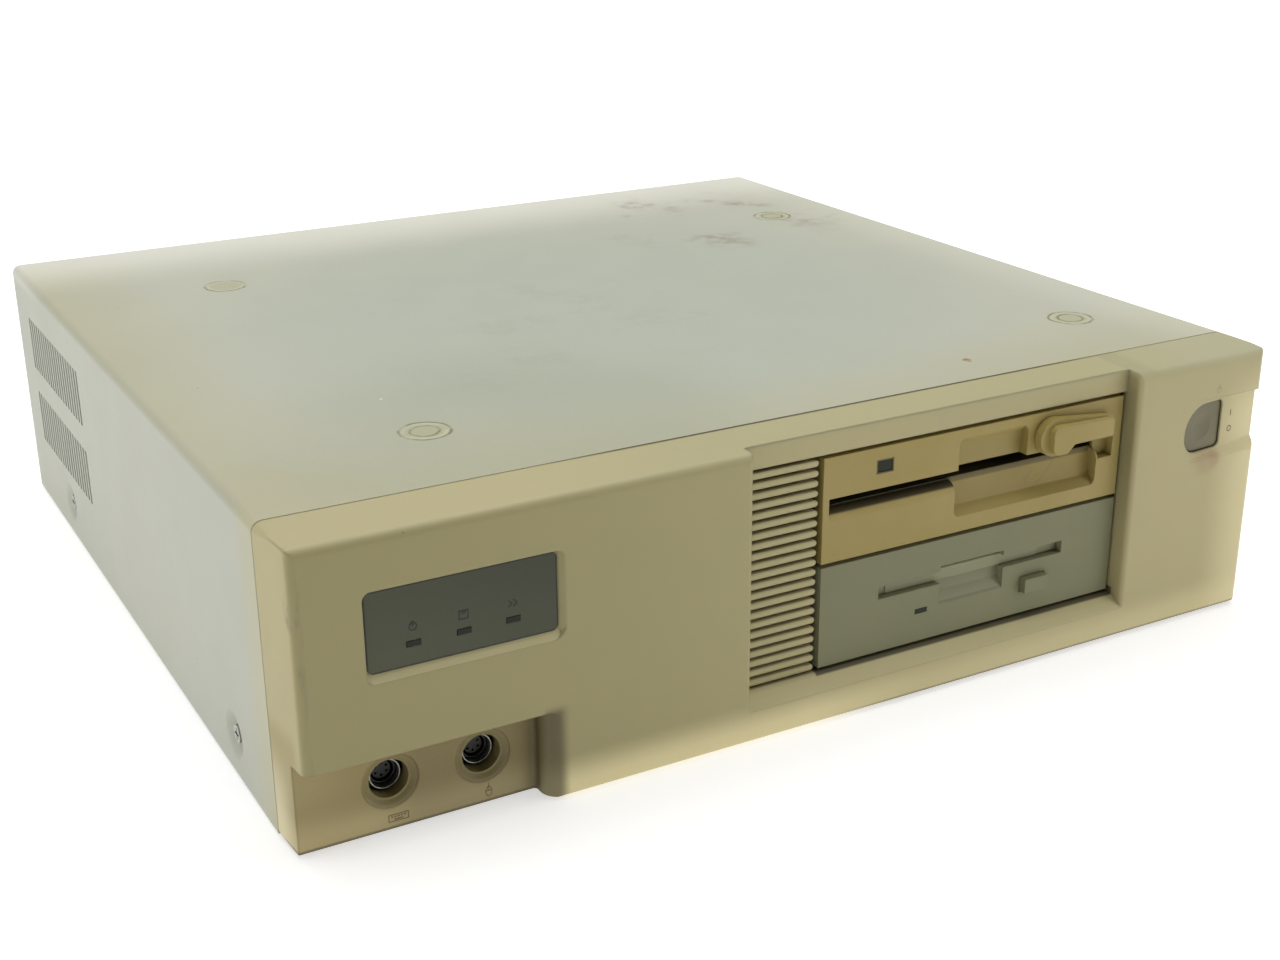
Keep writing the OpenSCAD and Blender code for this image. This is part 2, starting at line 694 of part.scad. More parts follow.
module rear_panel() {
    color("#9a9d98") in_case() {
        difference() {
            upright(panel_y, panel_y + tray_t)
                arch(tray_x0 + tray_t + 0.2, tray_x1 - tray_t - 0.2, tray_t,
                    case_h - sheet_t - 0.5, bend_r - sheet_t);
            for (k = [0:slot_count - 1])
                slab([slot_x0, panel_y - 1, slot_z + k * slot_pitch - 6],
                    [bracket_x1 - 6, panel_y + 5, slot_z + k * slot_pitch + 6]);
            slab([psu_x0 + 5, panel_y - 1, tray_t + 5], [psu_x1 - 5, panel_y + 5, tray_t + psu_h - 5]);
            for (p = rear_port_list)
                slab([p[0] - p[1] / 2 + 5, panel_y - 1, port_mid_z - 5.6],
                    [p[0] + p[1] / 2 - 5, panel_y + 5, port_mid_z + 5.6]);
            for (i = [0:9], j = [0:2]) {
                x = bracket_x1 + 14 + i * (psu_x0 - bracket_x1 - 26) / 10;
                z = case_h - 63.5 + j * 18;
                slab([x, panel_y - 1, z], [x + 3, panel_y + 5, z + 13]);
            }
        }
        // shelf that takes the screws of the card brackets
        difference() {
            slab([bracket_x0 - 1.2, panel_y - 13, slot_z - 10],
                [bracket_x0, panel_y + eps, slot_z + (slot_count - 1) * slot_pitch + 12]);
            for (k = [0:slot_count - 1])
                rod_x([bracket_x0 - 3, panel_y - 8, slot_z + k * slot_pitch], 1.5, 5);
        }
    }
}

module drive_cage() {
    color("#a8aba6") in_case() difference() {
        union() {
            difference() {
                slab([cage_x0 - cage_t, wall_y + tray_t, tray_t],
                    [cage_x1 + cage_t, cage_y1, cage_top + cage_t]);
                slab([cage_x0, 0, 0], [cage_x1, cage_y1 + over, cage_top]);
            }
            for (z = [bay_z, wide_z]) {
                slab([cage_x0 - eps, wall_y + tray_t, z - cage_t], [cage_x0 + ledge_w, cage_y1, z]);
                slab([cage_x1 - ledge_w, wall_y + tray_t, z - cage_t], [cage_x1 + eps, cage_y1, z]);
            }
            slab([cage_x0 - cage_t - cage_foot, wall_y + tray_t, tray_t], [cage_x0, cage_y1, 2 * tray_t]);
            slab([cage_x1, wall_y + tray_t, tray_t], [cage_x1 + cage_t + cage_foot, cage_y1, 2 * tray_t]);
        }
        // screw slots in both sides, and a cable cut-out at the top rear
        for (z = [bay_z, wide_z], y = drive_screw_y)
            rod_x([cage_x0 - over, y, z + 10], 2, plate_w + 3 * over);
        slab([cage_x0 + 30, cage_y1 - 40, cage_top - 1], [cage_x1 - 30, cage_y1 + over, cage_top + over]);
    }
}

module drive_screws() {
    color("silver") in_case() for (z = [bay_z, wide_z], y = drive_screw_y, side = [0, 1])
        translate([side ? cage_x1 + cage_t : cage_x0 - cage_t, y, z + 10])
            rotate([0, 0, side * 180]) {
                rod_x([-2.2, 0, 0], 3, 2.2);
                rod_x([-eps, 0, 0], 1.45, cage_t + cage_side + 4);
            }
}

module feet() {
    color("#3a3a38") in_case() for (x = [40, case_w - 40], y = [30, case_d - 34])
        translate([x, y, -foot_h]) rotate_extrude()
            polygon([[0, 0], [foot_r - 0.8, 0], [foot_r, 0.6], [foot_r, foot_h], [0, foot_h]]);
}

// ---------- front sockets, switch and speaker ----------
module port_board() {
    color("darkgreen") in_case() difference() {
        slab([socket_x - 14, port_board_y, socket_z - 11],
            [socket_x + socket_pitch + 14, port_board_y + board_t, socket_z + 12]);
        for (i = [0, 1])
            rod_y([socket_x + i * socket_pitch, port_board_y - 1, socket_z], 2.5, over);
    }
}
// Round six-pole socket: black block, steel collar, pin holes and key
module round_socket(x) {
    block_y = port_y + tube_d + tube_t;
    collar = 4.75;
    in_case() translate([x, 0, socket_z]) difference() {
        union() {
            slab([-7, block_y, -7], [7, port_board_y, 7]);
            rod_y([0, block_y - 1.4, 0], collar, 1.5);
        }
        difference() {
            rod_y([0, block_y - 2, 0], collar - 0.5, 7);
            rod_y([0, block_y - 0.5, 0], collar - 1.3, 7);
        }
        for (a = [30, 90, 150, 210, 270, 330])
            slab([2.3 * cos(a) - 0.4, block_y - 1, 2.3 * sin(a) - 0.4],
                [2.3 * cos(a) + 0.4, block_y + 3, 2.3 * sin(a) + 0.4]);
        slab([-1, block_y - 2, collar - 2.4], [1, block_y + 3, collar - 0.6]);
    }
}
module keyboard_socket() {
    color("#202020") round_socket(socket_x);
}
module mouse_socket() {
    color("#202020") round_socket(socket_x + socket_pitch);
}

module power_button() {
    slope_y = front_y + 0.3;
    fall = 3.4;
    color("#8d8f88") in_case() translate([button_x, 0, button_z]) {
        // cap with a face that falls back to the right, and a shallow finger dimple
        difference() {
            upright(slope_y, front_y + 12) button_outline(0);
            flat(-button_h, button_h) polygon([[-button_w, slope_y - 3], [button_w, slope_y - 3],
                [button_w, slope_y + fall], [-button_w, slope_y]]);
            translate([0, slope_y + fall / 2, 0]) rotate([0, 0, atan(fall / button_w / 2)])
                rotate([-90, 0, 0]) rotate_extrude()
                    polygon([[0, -2], [6.4, -2], [6.4, -0.1], [4.4, 0.45], [2.2, 0.75], [0, 0.85]]);
            upright(front_y + 6, front_y + 12 + over) button_outline(-1.6);
        }
        rod_y([0, front_y + 4, 0], button_stem_r, button_back - front_y - 4);
    }
}

module switch_bracket() {
    y0 = wall_y + tray_t;
    color("#a8aba6") in_case() translate([button_x, 0, button_z]) difference() {
        union() {
            slab([-16, y0, -16], [16, y0 + 1, 12]);
            slab([-16, y0, -16], [16, y0 + 36, -15]);
        }
        rod_y([0, y0 - 1, 0], 5, 4);
    }
}
module power_switch() {
    y0 = wall_y + tray_t + 1;
    color("#30302e") in_case() translate([button_x, 0, button_z]) difference() {
        union() {
            slab([-10, y0, -15], [10, y0 + 30, 9]);
            for (x = [-6, 0, 6])
                slab([x - 0.4, y0 + 30 - eps, -6], [x + 0.4, y0 + 38, 0]);
        }
        rod_y([0, y0 - 1, 0], button_stem_r + run, button_back + button_travel - y0 + 1.5);
    }
}

module speaker() {
    y0 = wall_y + tray_t;
    color("#2c2c2c") in_case() translate([speaker_x, y0, speaker_z]) rotate([-90, 0, 0])
        difference() {
            rotate_extrude($fn = 64) polygon([[0, speaker_t], [speaker_r - 16, speaker_t],
                [speaker_r - 16, 9], [speaker_r - 10, 9], [speaker_r - 2, 2], [speaker_r, 2], [speaker_r, 0],
                [speaker_r - 3, 0], [speaker_r - 14, 6], [0, 6]]);
        }
}

// ---------- hard disk ----------
module hard_disk() {
    color("#3d4043") in_case() translate([disk_x, disk_y, disk_z]) {
        difference() {
            slab([0, 0, 0], [disk_w, disk_l, 32]);
            slab([4, -1, 22], [disk_w - 4, 6, 33]);
            for (y = [30, 75, 120]) rod_x([-1, y, 6], 1.6, 5);
        }
        flat(32 - eps, 36) polygon(rounded([[3, 8], [disk_w - 3, 8], [disk_w - 3, disk_l - 3],
            [3, disk_l - 3]], [8, 8, 8, 8]));
        slab([2, 2, -4], [disk_w - 2, disk_l - 2, eps]);
        slab([12, disk_l - eps, -3], [64, disk_l + 6, 5]);
    }
}
module disk_bracket() {
    t = 1.2;
    base = disk_z - 4;
    leg_l = 68;
    color("#a8aba6") in_case() difference() {
        union() {
            slab([disk_x - t, disk_y, base - t], [disk_x + disk_w + t, disk_y + disk_l, base]);
            for (x = [disk_x - t, disk_x + disk_w])
                slab([x, disk_y, base - eps], [x + t, disk_y + disk_l, base + 16]);
            for (x = [disk_x - t, disk_x + disk_w])
                slab([x, disk_y, tray_t], [x + t, disk_y + leg_l, base]);
            slab([disk_x - t - 8, disk_y, tray_t], [disk_x, disk_y + leg_l, tray_t + t]);
        }
        slab([disk_x + 14, disk_y + 16, base - over], [disk_x + disk_w - 14, disk_y + 66, base + 1]);
        slab([disk_x - over, disk_y + 16, 12], [disk_x + disk_w + over, disk_y + 52, base - 10]);
    }
}

// ---------- power supply ----------
module psu_case() {
    x0 = psu_x0;
    x1 = psu_x1;
    y0 = psu_y0;
    top = tray_t + psu_h;
    color("#b4b7b2") in_case() difference() {
        slab([x0, y0, tray_t], [x1, panel_y, top]);
        slab([x0 + psu_t, y0 + psu_t, tray_t + psu_t], [x1 - psu_t, panel_y - psu_t, top - psu_t]);
        rod_y([fan_x, panel_y - over, fan_z], fan_r + 0.6, 2 * over);
        for (z = [inlet_z, outlet_z])
            slab([inlet_x - inlet_w / 2, panel_y - over, z - inlet_h / 2],
                [inlet_x + inlet_w / 2, panel_y + over, z + inlet_h / 2]);
        for (i = [0:11])
            slab([x0 + 20 + i * 10, y0 - 1, tray_t + 20], [x0 + 24 + i * 10, y0 + 2, top - 16]);
        rod_y([x0 + 10, y0 - 1, top - 8], 4.6, 4);
    }
}
module fan_frame() {
    y1 = panel_y - psu_t;
    y0 = y1 - fan_t;
    color("#262626") in_case() translate([fan_x, 0, fan_z]) difference() {
        union() {
            difference() {
                upright(y0, y1) rounded_box(-fan_box / 2, -fan_box / 2, fan_box / 2, fan_box / 2, 5);
                rod_y([0, y0 - 1, 0], fan_r + 1, fan_t + 2);
            }
            rod_y([0, y0, 0], 14, 4);
            for (a = [0, 90, 180, 270]) rotate([0, a + 45, 0])
                slab([12, y0, -2], [fan_r + 2, y0 + 3, 2]);
        }
        rod_y([0, y0 - 1, 0], shaft_r + run, 8);
        for (sx = [-1, 1], sz = [-1, 1])
            rod_y([sx * 35.75, y0 - 1, sz * 35.75], 2.2, fan_t + 2);
    }
}
module fan_rotor() {
    y0 = panel_y - psu_t - fan_t;
    hub = 15;
    color("#1c1c1c") in_case() translate([fan_x, 0, fan_z]) {
        rod_y([0, y0 + 4.4, 0], hub, 18);
        rod_y([0, y0 + 0.5, 0], shaft_r, 5);
        intersection() {
            difference() {
                rod_y([0, y0 + 5, 0], fan_r, 17);
                rod_y([0, y0 + 4, 0], hub - 0.5, 19);
            }
            for (i = [0:blade_count - 1]) rotate([0, i * 360 / blade_count, 0])
                translate([0, y0 + 13.5, 0]) rotate([0, 0, 38])
                    slab([-10.5, -0.8, 0], [10.5, 0.8, fan_r + 2]);
        }
    }
}
// Wire guard outside the fan: rings on a cross, held at the four corners
module fan_guard() {
    wire = 0.9;
    y = panel_y + wire;
    color("silver") in_case() translate([fan_x, y, fan_z]) rotate([-90, 0, 0]) {
        for (r = [8, 15, 22, 29, 36])
            rotate_extrude($fn = 64) translate([r, 1.2]) square([2 * wire, 2 * wire], center = true);
        for (a = [45, 135]) rotate([0, 0, a])
            slab([-fan_box * 0.66, -wire, -wire], [fan_box * 0.66, wire, 0.5]);
    }
}
// Outline of a mains connector: two corners cut off
module plug_outline(w, h) {
    polygon([[-w, -h], [w, -h], [w, h - 4], [w - 4, h], [4 - w, h], [-w, h - 4]]);
}
// Appliance inlet: deep cavity with three flat blades
module power_inlet() {
    y1 = panel_y + 1.5;
    color("#1e1e1e") in_case() translate([inlet_x, 0, inlet_z]) {
        difference() {
            union() {
                upright(panel_y, y1) rounded_box(-15.5, -11.5, 15.5, 11.5, 2);
                upright(panel_y - 18, panel_y) rounded_box(-inlet_w / 2 + 0.1, -inlet_h / 2 + 0.1,
                    inlet_w / 2 - 0.1, inlet_h / 2 - 0.1, 1);
            }
            upright(panel_y - 15, y1 + 1) plug_outline(12, 8);
        }
        for (p = [[-7, -3.5], [7, -3.5], [0, 0.5]])
            slab([p[0] - 1, panel_y - 15 - eps, p[1] - 2], [p[0] + 1, panel_y - 0.5, p[1] + 2]);
    }
}
module power_outlet() {
    y1 = panel_y + 1.5;
    color("#1e1e1e") in_case() translate([inlet_x, 0, outlet_z]) difference() {
        union() {
            upright(panel_y, y1) rounded_box(-15.5, -11.5, 15.5, 11.5, 2);
            upright(panel_y - 18, panel_y) rounded_box(-inlet_w / 2 + 0.1, -inlet_h / 2 + 0.1,
                inlet_w / 2 - 0.1, inlet_h / 2 - 0.1, 1);
        }
        difference() {
            upright(panel_y - 14, y1 + 1) plug_outline(12.4, 8.4);
            upright(panel_y - 15, y1 + 2) plug_outline(11, 7);
        }
        for (p = [[-7, -2.5], [7, -2.5], [0, 1.5]])
            slab([p[0] - 1.2, y1 - 12, p[1] - 2.4], [p[0] + 1.2, y1 + 1, p[1] + 2.4]);
    }
}
module psu_board() {
    z = tray_t + psu_t + 6;
    color("#8a6a3a") in_case() {
        slab([psu_x0 + 6, psu_y0 + 6, z], [psu_x1 - 6, panel_y - fan_t - 8, z + board_t]);
        for (x = [psu_x0 + 12, psu_x1 - 12], y = [psu_y0 + 12, panel_y - fan_t - 14])
            rod_z([x, y, tray_t + psu_t], 3, 6 + eps);
        // heat sinks, transformer and capacitors
        for (x = [psu_x0 + 40, psu_x0 + 96])
            difference() {
                slab([x, psu_y0 + 16, z + board_t - eps], [x + 14, psu_y0 + 86, z + 56]);
                for (i = [0:2])
                    slab([x + 2 + i * 4, psu_y0 + 10, z + 14], [x + 4 + i * 4, psu_y0 + 92, z + 60]);
            }
        slab([psu_x0 + 60, psu_y0 + 30, z + board_t - eps], [psu_x0 + 90, psu_y0 + 64, z + 36]);
        for (y = [psu_y0 + 24, psu_y0 + 54]) rod_z([psu_x0 + 126, y, z + board_t - eps], 12, 38);
    }
}

// ---------- main board and cards ----------
module main_board() {
    color("#2d5a36") in_case() difference() {
        flat(board_z, board_top) polygon([[board_x0, board_y0], [board_x1, board_y0],
            [board_x1, board_y1], [board_x2, board_y1], [board_x2, board_y2], [board_x0, board_y2]]);
        for (p = standoff_places) rod_z([p[0], p[1], 0], 1.8, board_top + 5);
    }
}
module board_standoffs() {
    color("gold") in_case() for (p = standoff_places) {
        rod_z([p[0], p[1], tray_t], 3, standoff_h);
        rod_z([p[0], p[1], tray_t + standoff_h - eps], 1.75, board_t + 0.6);
        rod_z([p[0], p[1], board_top], 3, 1.6);
    }
}
// Plastic chip package with a row of legs along each long side
module chip(x, y, w, l, h) {
    translate([x, y, board_top]) {
        slab([0, 0, 0], [w, l, 0.6]);
        slab([0.8, 0, 0.6 - eps], [w - 0.8, l, h]);
    }
}
module board_chips() {
    color("#242424") in_case() {
        chip(chip_x[0], 214, 22, 22, 4);
        chip(chip_x[0], 262, 22, 22, 3.6);
        chip(chip_x[0], 298, 22, 22, 3.6);
        for (x = [chip_x[1], chip_x[2]]) chip(x, board_y1 + 18, 16, 50, 4);
        chip(board_x0 + 88, board_y0 + 10, 12, 36, 4);
        for (i = [0:4]) chip(board_x0 + 12 + i * 15, 208, 9, 22, 3.6);
        for (i = [0:3]) chip(chip_x[1] + 1 + i * 9, board_y1 + 74, 7, 18, 3.4);
        for (i = [0:3]) chip(board_x0 + 16 + i * 22, 250, 8, 20, 3.6);
    }
}
module memory_modules() {
    color("#3b6b44") in_case() for (i = [0:3]) {
        y = 124 + i * 12;
        difference() {
            slab([18, y, board_top], [116 - 26, y + 6, board_top + 7]);
            slab([20, y + 2.2, board_top + 2], [88, y + 3.8, board_top + 8]);
        }
        slab([20.2, y + 2.3, board_top + 2], [87.8, y + 3.7, board_top + 22]);
        for (k = [0:7])
            slab([23 + k * 8, y + 3.6, board_top + 9], [29 + k * 8, y + 5.2, board_top + 19]);
    }
}
module clock_battery() {
    color("#3a4a8a") in_case() {
        cell_x = board_x2 - 54;
        rod_x([cell_x, panel_y - 45, board_top + 8], 8, 40);
        for (x = [cell_x + 2, cell_x + 34])
            slab([x, panel_y - 48, board_top], [x + 4, panel_y - 42, board_top + 2]);
    }
}
// D-shaped socket: flange, body, shell with the slanted ends, two screw posts
module d_port(w, depth, solid_face) {
    shell = w - 14;
    slab([-w / 2, -depth, -6.2], [w / 2, -depth + 6, 6.2]);
    slab([-w / 2 + 8, -depth + 6 - eps, -5], [w / 2 - 8, eps, 5]);
    difference() {
        upright(0, 6) polygon([[-shell / 2 + 1.6, -4.2], [shell / 2 - 1.6, -4.2],
            [shell / 2, 4.2], [-shell / 2, 4.2]]);
        if (!solid_face)
            upright(0.5, 7) polygon([[-shell / 2 + 2.3, -3.6], [shell / 2 - 2.3, -3.6],
                [shell / 2 - 0.8, 3.6], [-shell / 2 + 0.8, 3.6]]);
        if (solid_face)
            for (i = [0:floor(shell / 2.77) - 2], row = [-1, 1])
                rod_y([(i - (floor(shell / 2.77) - 2) / 2) * 2.77 + row * 0.6, 3, row * 1.42], 0.6, 4);
    }
    if (!solid_face)
        for (i = [0:floor(shell / 2.77) - 2], row = [-1, 1])
            rod_y([(i - (floor(shell / 2.77) - 2) / 2) * 2.77 + row * 0.6, 0.4, row * 1.42], 0.5, 4.6);
}
module rear_ports() {
    color("#c9ccc6") in_case() for (k = [0, 1]) {
        p = rear_port_list[k];
        translate([p[0], panel_y, port_mid_z]) {
            difference() {
                d_port(p[1], 9, k == 0);
                for (s = [-1, 1]) rod_y([s * (p[1] / 2 - 3), -12, 0], 1.6, 14);
            }
            slab([-p[1] / 2 + 3, -9, -6.4], [p[1] / 2 - 3, -5.1, -6.2 + eps]);
        }
    }
}
module riser_card() {
    z1 = slot_z + (slot_count - 1) * slot_pitch + 10;
    color("#2d5a36") in_case()
        slab([riser_x, riser_y0 + 3, board_top + 3], [riser_x + board_t, riser_y1 - 3, z1]);
}
module card_sockets() {
    color("#1f1f1f") in_case() {
        // socket on the main board that holds the riser
        difference() {
            slab([riser_x - 3.4, riser_y0, board_top], [riser_x + board_t + 3.4, riser_y1, board_top + 10]);
            slab([riser_x - 0.05, riser_y0 + 2.9, board_top + 3],
                [riser_x + board_t + 0.05, riser_y1 - 2.9, board_top + 11]);
        }
        for (k = [0:slot_count - 1]) {
            z = slot_z + k * slot_pitch;
            difference() {
                slab([riser_x - socket_depth, riser_y0 + 3, z - socket_h / 2],
                    [riser_x, riser_y1 - 3, z + socket_h / 2]);
                slab([riser_x - socket_depth - 1, riser_y0 + 5.9, z - board_t / 2 - 0.05],
                    [riser_x - 2.5, riser_y1 - 5.9, z + board_t / 2 + 0.05]);
            }
        }
    }
}
// Expansion card lying flat: board, edge tongue, chips and its rear socket
module flat_card(k, len, w, port) {
    z = slot_z + k * slot_pitch;
    x1 = riser_x - socket_depth - 1;
    translate([0, 0, z]) {
        difference() {
            slab([x1 - w, panel_y - 3 - len, -board_t / 2], [x1, panel_y - 3, board_t / 2]);
            slab([x1 - w - 1, panel_y - len - 4, -board_t],
                [x1 - w + 16, panel_y - len + 17, board_t]);
        }
        slab([x1 - eps, riser_y0 + 6, -board_t / 2], [riser_x - 2.6, riser_y1 - 6, board_t / 2]);
        for (i = [0:card_chip_rows - 1], j = [0:1])
            slab([x1 - 22 - j * 34, panel_y - 50 - i * card_chip_pitch, board_t / 2 - eps],
                [x1 - 8 - j * 34, panel_y - 30 - i * card_chip_pitch, board_t / 2 + 3]);
        slab([x1 - 60, panel_y - 24, board_t / 2 - eps], [x1 - 52, panel_y - 14, board_t / 2 + 4]);
        translate([slot_x0 + 44, panel_y, 0]) d_port(port, 9, true);
    }
}
module display_card() {
    color("#2a5f3a") in_case() flat_card(1, card_len, 104, 38);
}
module port_card() {
    color("#2f6a3f") in_case() flat_card(2, port_card_len, 98, 53);
}
// Strip that closes a slot: long plate, screw tab, narrowed tongue at the far end
module bracket_strip(z) {
    slab([bracket_x0, panel_y - 0.9, z - bracket_h / 2], [bracket_x1 - 8, panel_y, z + bracket_h / 2]);
    slab([bracket_x1 - 8 - eps, panel_y - 0.9, z - 5], [bracket_x1, panel_y, z + 5]);
    slab([bracket_x0, panel_y - 12, z - bracket_h / 2], [bracket_x0 + 0.9, panel_y - 0.5, z + bracket_h / 2]);
}
module card_brackets() {
    color("silver") in_case() for (k = [1, 2]) difference() {
        bracket_strip(slot_z + k * slot_pitch);
        translate([slot_x0 + 44, panel_y, slot_z + k * slot_pitch])
            slab([k == 1 ? -19.1 : -26.6, -2, -6.3], [k == 1 ? 19.1 : 26.6, 1, 6.3]);
        rod_x([bracket_x0 - 1, panel_y - 8, slot_z + k * slot_pitch], 1.7, 3);
    }
}
module slot_covers() {
    color("silver") in_case() for (k = [0, 3]) if (k < slot_count) difference() {
        bracket_strip(slot_z + k * slot_pitch);
        rod_x([bracket_x0 - 1, panel_y - 8, slot_z + k * slot_pitch], 1.7, 3);
    }
}
module slot_screws() {
    color("#c8b060") in_case() for (k = [0:slot_count - 1])
        translate([bracket_x0 + 0.9, panel_y - 8, slot_z + k * slot_pitch]) {
            rod_x([0, 0, 0], 2.8, 2);
            rod_x([-4, 0, 0], 1.45, 4 + eps);
        }
}
module drive_ribbon() {
    // flat cable: up from its header on the board, over, and into both drives' rear edges
    w = 34;
    t = 1.2;
    x0 = bay_x + 18;
    y0 = plate_back + wide_len + 0.1;
    color("#9aa0a6") in_case() {
        slab([x0, y0, wide_z + body_h - 13], [x0 + w, y0 + 8, wide_z + body_h - 5]);
        slab([x0, y0 + 8 - eps, board_top + 7], [x0 + w, y0 + 8 + t, wide_z + body_h - 8]);
        slab([x0, y0 + 8 - 4, board_top], [x0 + w, y0 + 13, board_top + 8]);
    }
}

// ---------- 5.25 inch drive ----------
module wide_plate() {
    slot_x1 = wide_slot_x[1];
    lower = [62, slot_x1 - 1];
    upper = [63, lever_x - 11];
    lead_z = wide_slot_z - 0.5;
    lead_r = 4.7;
    // shelf that carries the slot's lower edge on behind the plate
    color("#cfc08a") in_case() at_drive(wide_z)
        slab([wide_slot_x[0] + 1.4, plate_t - eps, wide_slot_z - 1.2], [slot_x1, plate_t + 6, wide_slot_z]);
    color("#cfc08a") in_case() at_drive(wide_z) difference() {
        slab([0, 0, 0], [plate_w, plate_t, wide_h]);
        slab([wide_slot_x[0], -1, wide_slot_z], [slot_x1, plate_t + 1, wide_slot_z + wide_slot]);
        // lead-in below the slot, rolled over towards the front
        along_x(wide_slot_x[0], slot_x1) polygon(concat([[-1, wide_slot_z + 1], [-1, lead_z - lead_r]],
            corner([0, 0], [0, lead_z], [plate_t, lead_z], lead_r),
            [[plate_t - 2, lead_z], [plate_t - 2, wide_slot_z + 1]]));
        // finger hollows below and above the slot
        intersection() {
            along_x(lower[0], lower[1]) polygon(rounded([[-2, 6], [0, 6.4], [4.6, 10],
                [5.6, wide_slot_z + 1], [-2, wide_slot_z + 1]], [0, 0, 2, 0, 0]));
            upright(-3, plate_t) rounded_box(lower[0], 6, lower[1], wide_slot_z + 8, 3.5);
        }
        intersection() {
            along_x(upper[0], upper[1]) polygon(rounded([[-2, wide_slot_z + 1], [5.2, wide_slot_z + 1],
                [3.6, 36], [0, 38.6], [-2, 39]], [0, 0, 2, 0, 0]));
            upright(-3, plate_t) rounded_box(upper[0], wide_slot_z - 8, upper[1], 38.6, 3);
        }
        slab([slot_x1 - eps, -1, wide_slot_z - 4], [slot_x1 + 7, 4, wide_slot_z + wide_slot]);
        slab([24.6, -1, 32.3], [31.3, plate_t + 1, 36.7]);
        rod_y([lever_x, -1, lever_z], 3 + run, plate_t + 2);
    }
}
module wide_lamp() {
    color("#4a5a5c") in_case() at_drive(wide_z)
        slab([24.8, 0.2, 32.5], [31.1, plate_t, 36.5]);
}
module wide_lever() {
    face = -6.8;
    color("#cdbf8e") in_case() at_drive(wide_z) translate([lever_x, 0, lever_z]) {
        difference() {
            union() {
                rod_y([0, -4, 0], hub_r, 3.6);
                // arm: straight upper edge from the hub, rounded free end
                upright(-4, -0.4) polygon(rounded([[0, -4.4], [lever_len, -4.4], [lever_len, 4.4],
                    [0, hub_r]], [0, 1.2, 1.2, 0]));
                // raised grip with a round end over the hub
                upright(face, -3.9) polygon(rounded([[-3.4, -6.6], [4, -6.6], [8, -3], [lever_len - 2, -3],
                    [lever_len - 2, 4.2], [-3.4, 5.5]], [3.2, 2, 2, 1, 1, 3.2]));
            }
            // relief under the free end of the grip
            slab([lever_len - 9, -3.4, -5], [lever_len - 3, 0, -1.6]);
        }
        rod_y([0, -1, 0], 3, plate_t + 4);
        rod_y([0, plate_t + 2, 0], cam_r - 0.2, 9);
        // eccentric cam on the rear end of the shaft
        rod_y([cam_throw, plate_t + 6, 0], cam_r, 5);
        slab([0, plate_t + 6, -cam_r + 0.2], [cam_throw, plate_t + 11, cam_r - 0.2]);
    }
}
module wide_frame() {
    y0 = plate_t;
    y1 = plate_t + wide_len;
    wall = 4;
    deck = 8;
    color("#9b9e9c") in_case() at_drive(wide_z) difference() {
        slab([0.4, y0, 0], [plate_w - 0.4, y1, body_h]);
        // open well above the deck, and a shallow one below it for the motor
        slab([wall, y0 + 3, deck + 4], [plate_w - wall, y1 - 3, body_h + 1]);
        slab([wall + 3, y0 + 3, -1], [plate_w - wall - 3, y1 - 6, deck]);
        // mouth for the diskette, in line with the slot in the plate
        slab([wall, y0 - 1, wide_slot_z - 1.2], [plate_w - wall, y0 + 4, wide_slot_z + wide_slot + 1]);
        slab([lever_x - 14, y0 - 1, wide_slot_z - 1], [lever_x + 14, y0 + 4, body_h + 1]);
        rod_z([spindle_x, spindle_y, deck - 1], 4 + run, 6);
        slab([spindle_x - 9, heads_y - 10, deck - 1],
            [spindle_x + 9, heads_y + heads_l + head_travel + 2, deck + 6]);
        // threaded holes for the side screws
        for (y = [46, 106], x = [-1, plate_w - 8])
            rod_x([x, plate_t + y, 10], 1.5, 9);
        slab([20, y1 - 4, 18], [56, y1 + 1, body_h + 1]);
        // grooves that guide the clamp bar
        slab([groove_x, clamp_y - clamp_half - fit, clamp_z - clamp_travel - fit - 3],
            [plate_w - groove_x, clamp_y + clamp_half + fit, body_h + 1]);
    }
    // rails beside the diskette
    color("#9b9e9c") in_case() at_drive(wide_z) for (x = [wall - eps, plate_w - wall - 4 + eps])
        slab([x, y0 + 8, deck + 4 - eps], [x + 4, y0 + 136, wide_slot_z - 0.6]);
}
module wide_board() {
    y1 = plate_t + wide_len;
    color("#2d6040") in_case() at_drive(wide_z) {
        difference() {
            slab([4.4, plate_t + 86, body_h - 4], [plate_w - 4.4, y1 - 3.4, body_h - 4 + board_t]);
            slab([50, plate_t + 80, body_h - 6], [96, plate_t + 120, body_h]);
        }
        for (x = [10, plate_w - 38], y = [100, 132])
            slab([x, plate_t + y, body_h - 7], [x + 26, plate_t + y + 12, body_h - 4 + eps]);
        // posts that carry the board on the frame
        for (x = [8, plate_w - 8], y = [146, y1 - 16])
            rod_z([x, y, 12], 2.4, body_h - 16 + eps);
        slab([24, y1 - 12, body_h - 13], [52, y1, body_h - 4 + eps]);
    }
}
module wide_spindle() {
    color("#c8c8c4") in_case() at_drive(wide_z) translate([spindle_x, spindle_y, 0]) {
        rotate_extrude($fn = 64) polygon([[0, 1.2], [34, 1.2], [34, 6], [4, 6], [4, 13],
            [19, 13], [19, 15.5], [13, 17.5], [13, hub_top], [0, hub_top]]);
    }
}
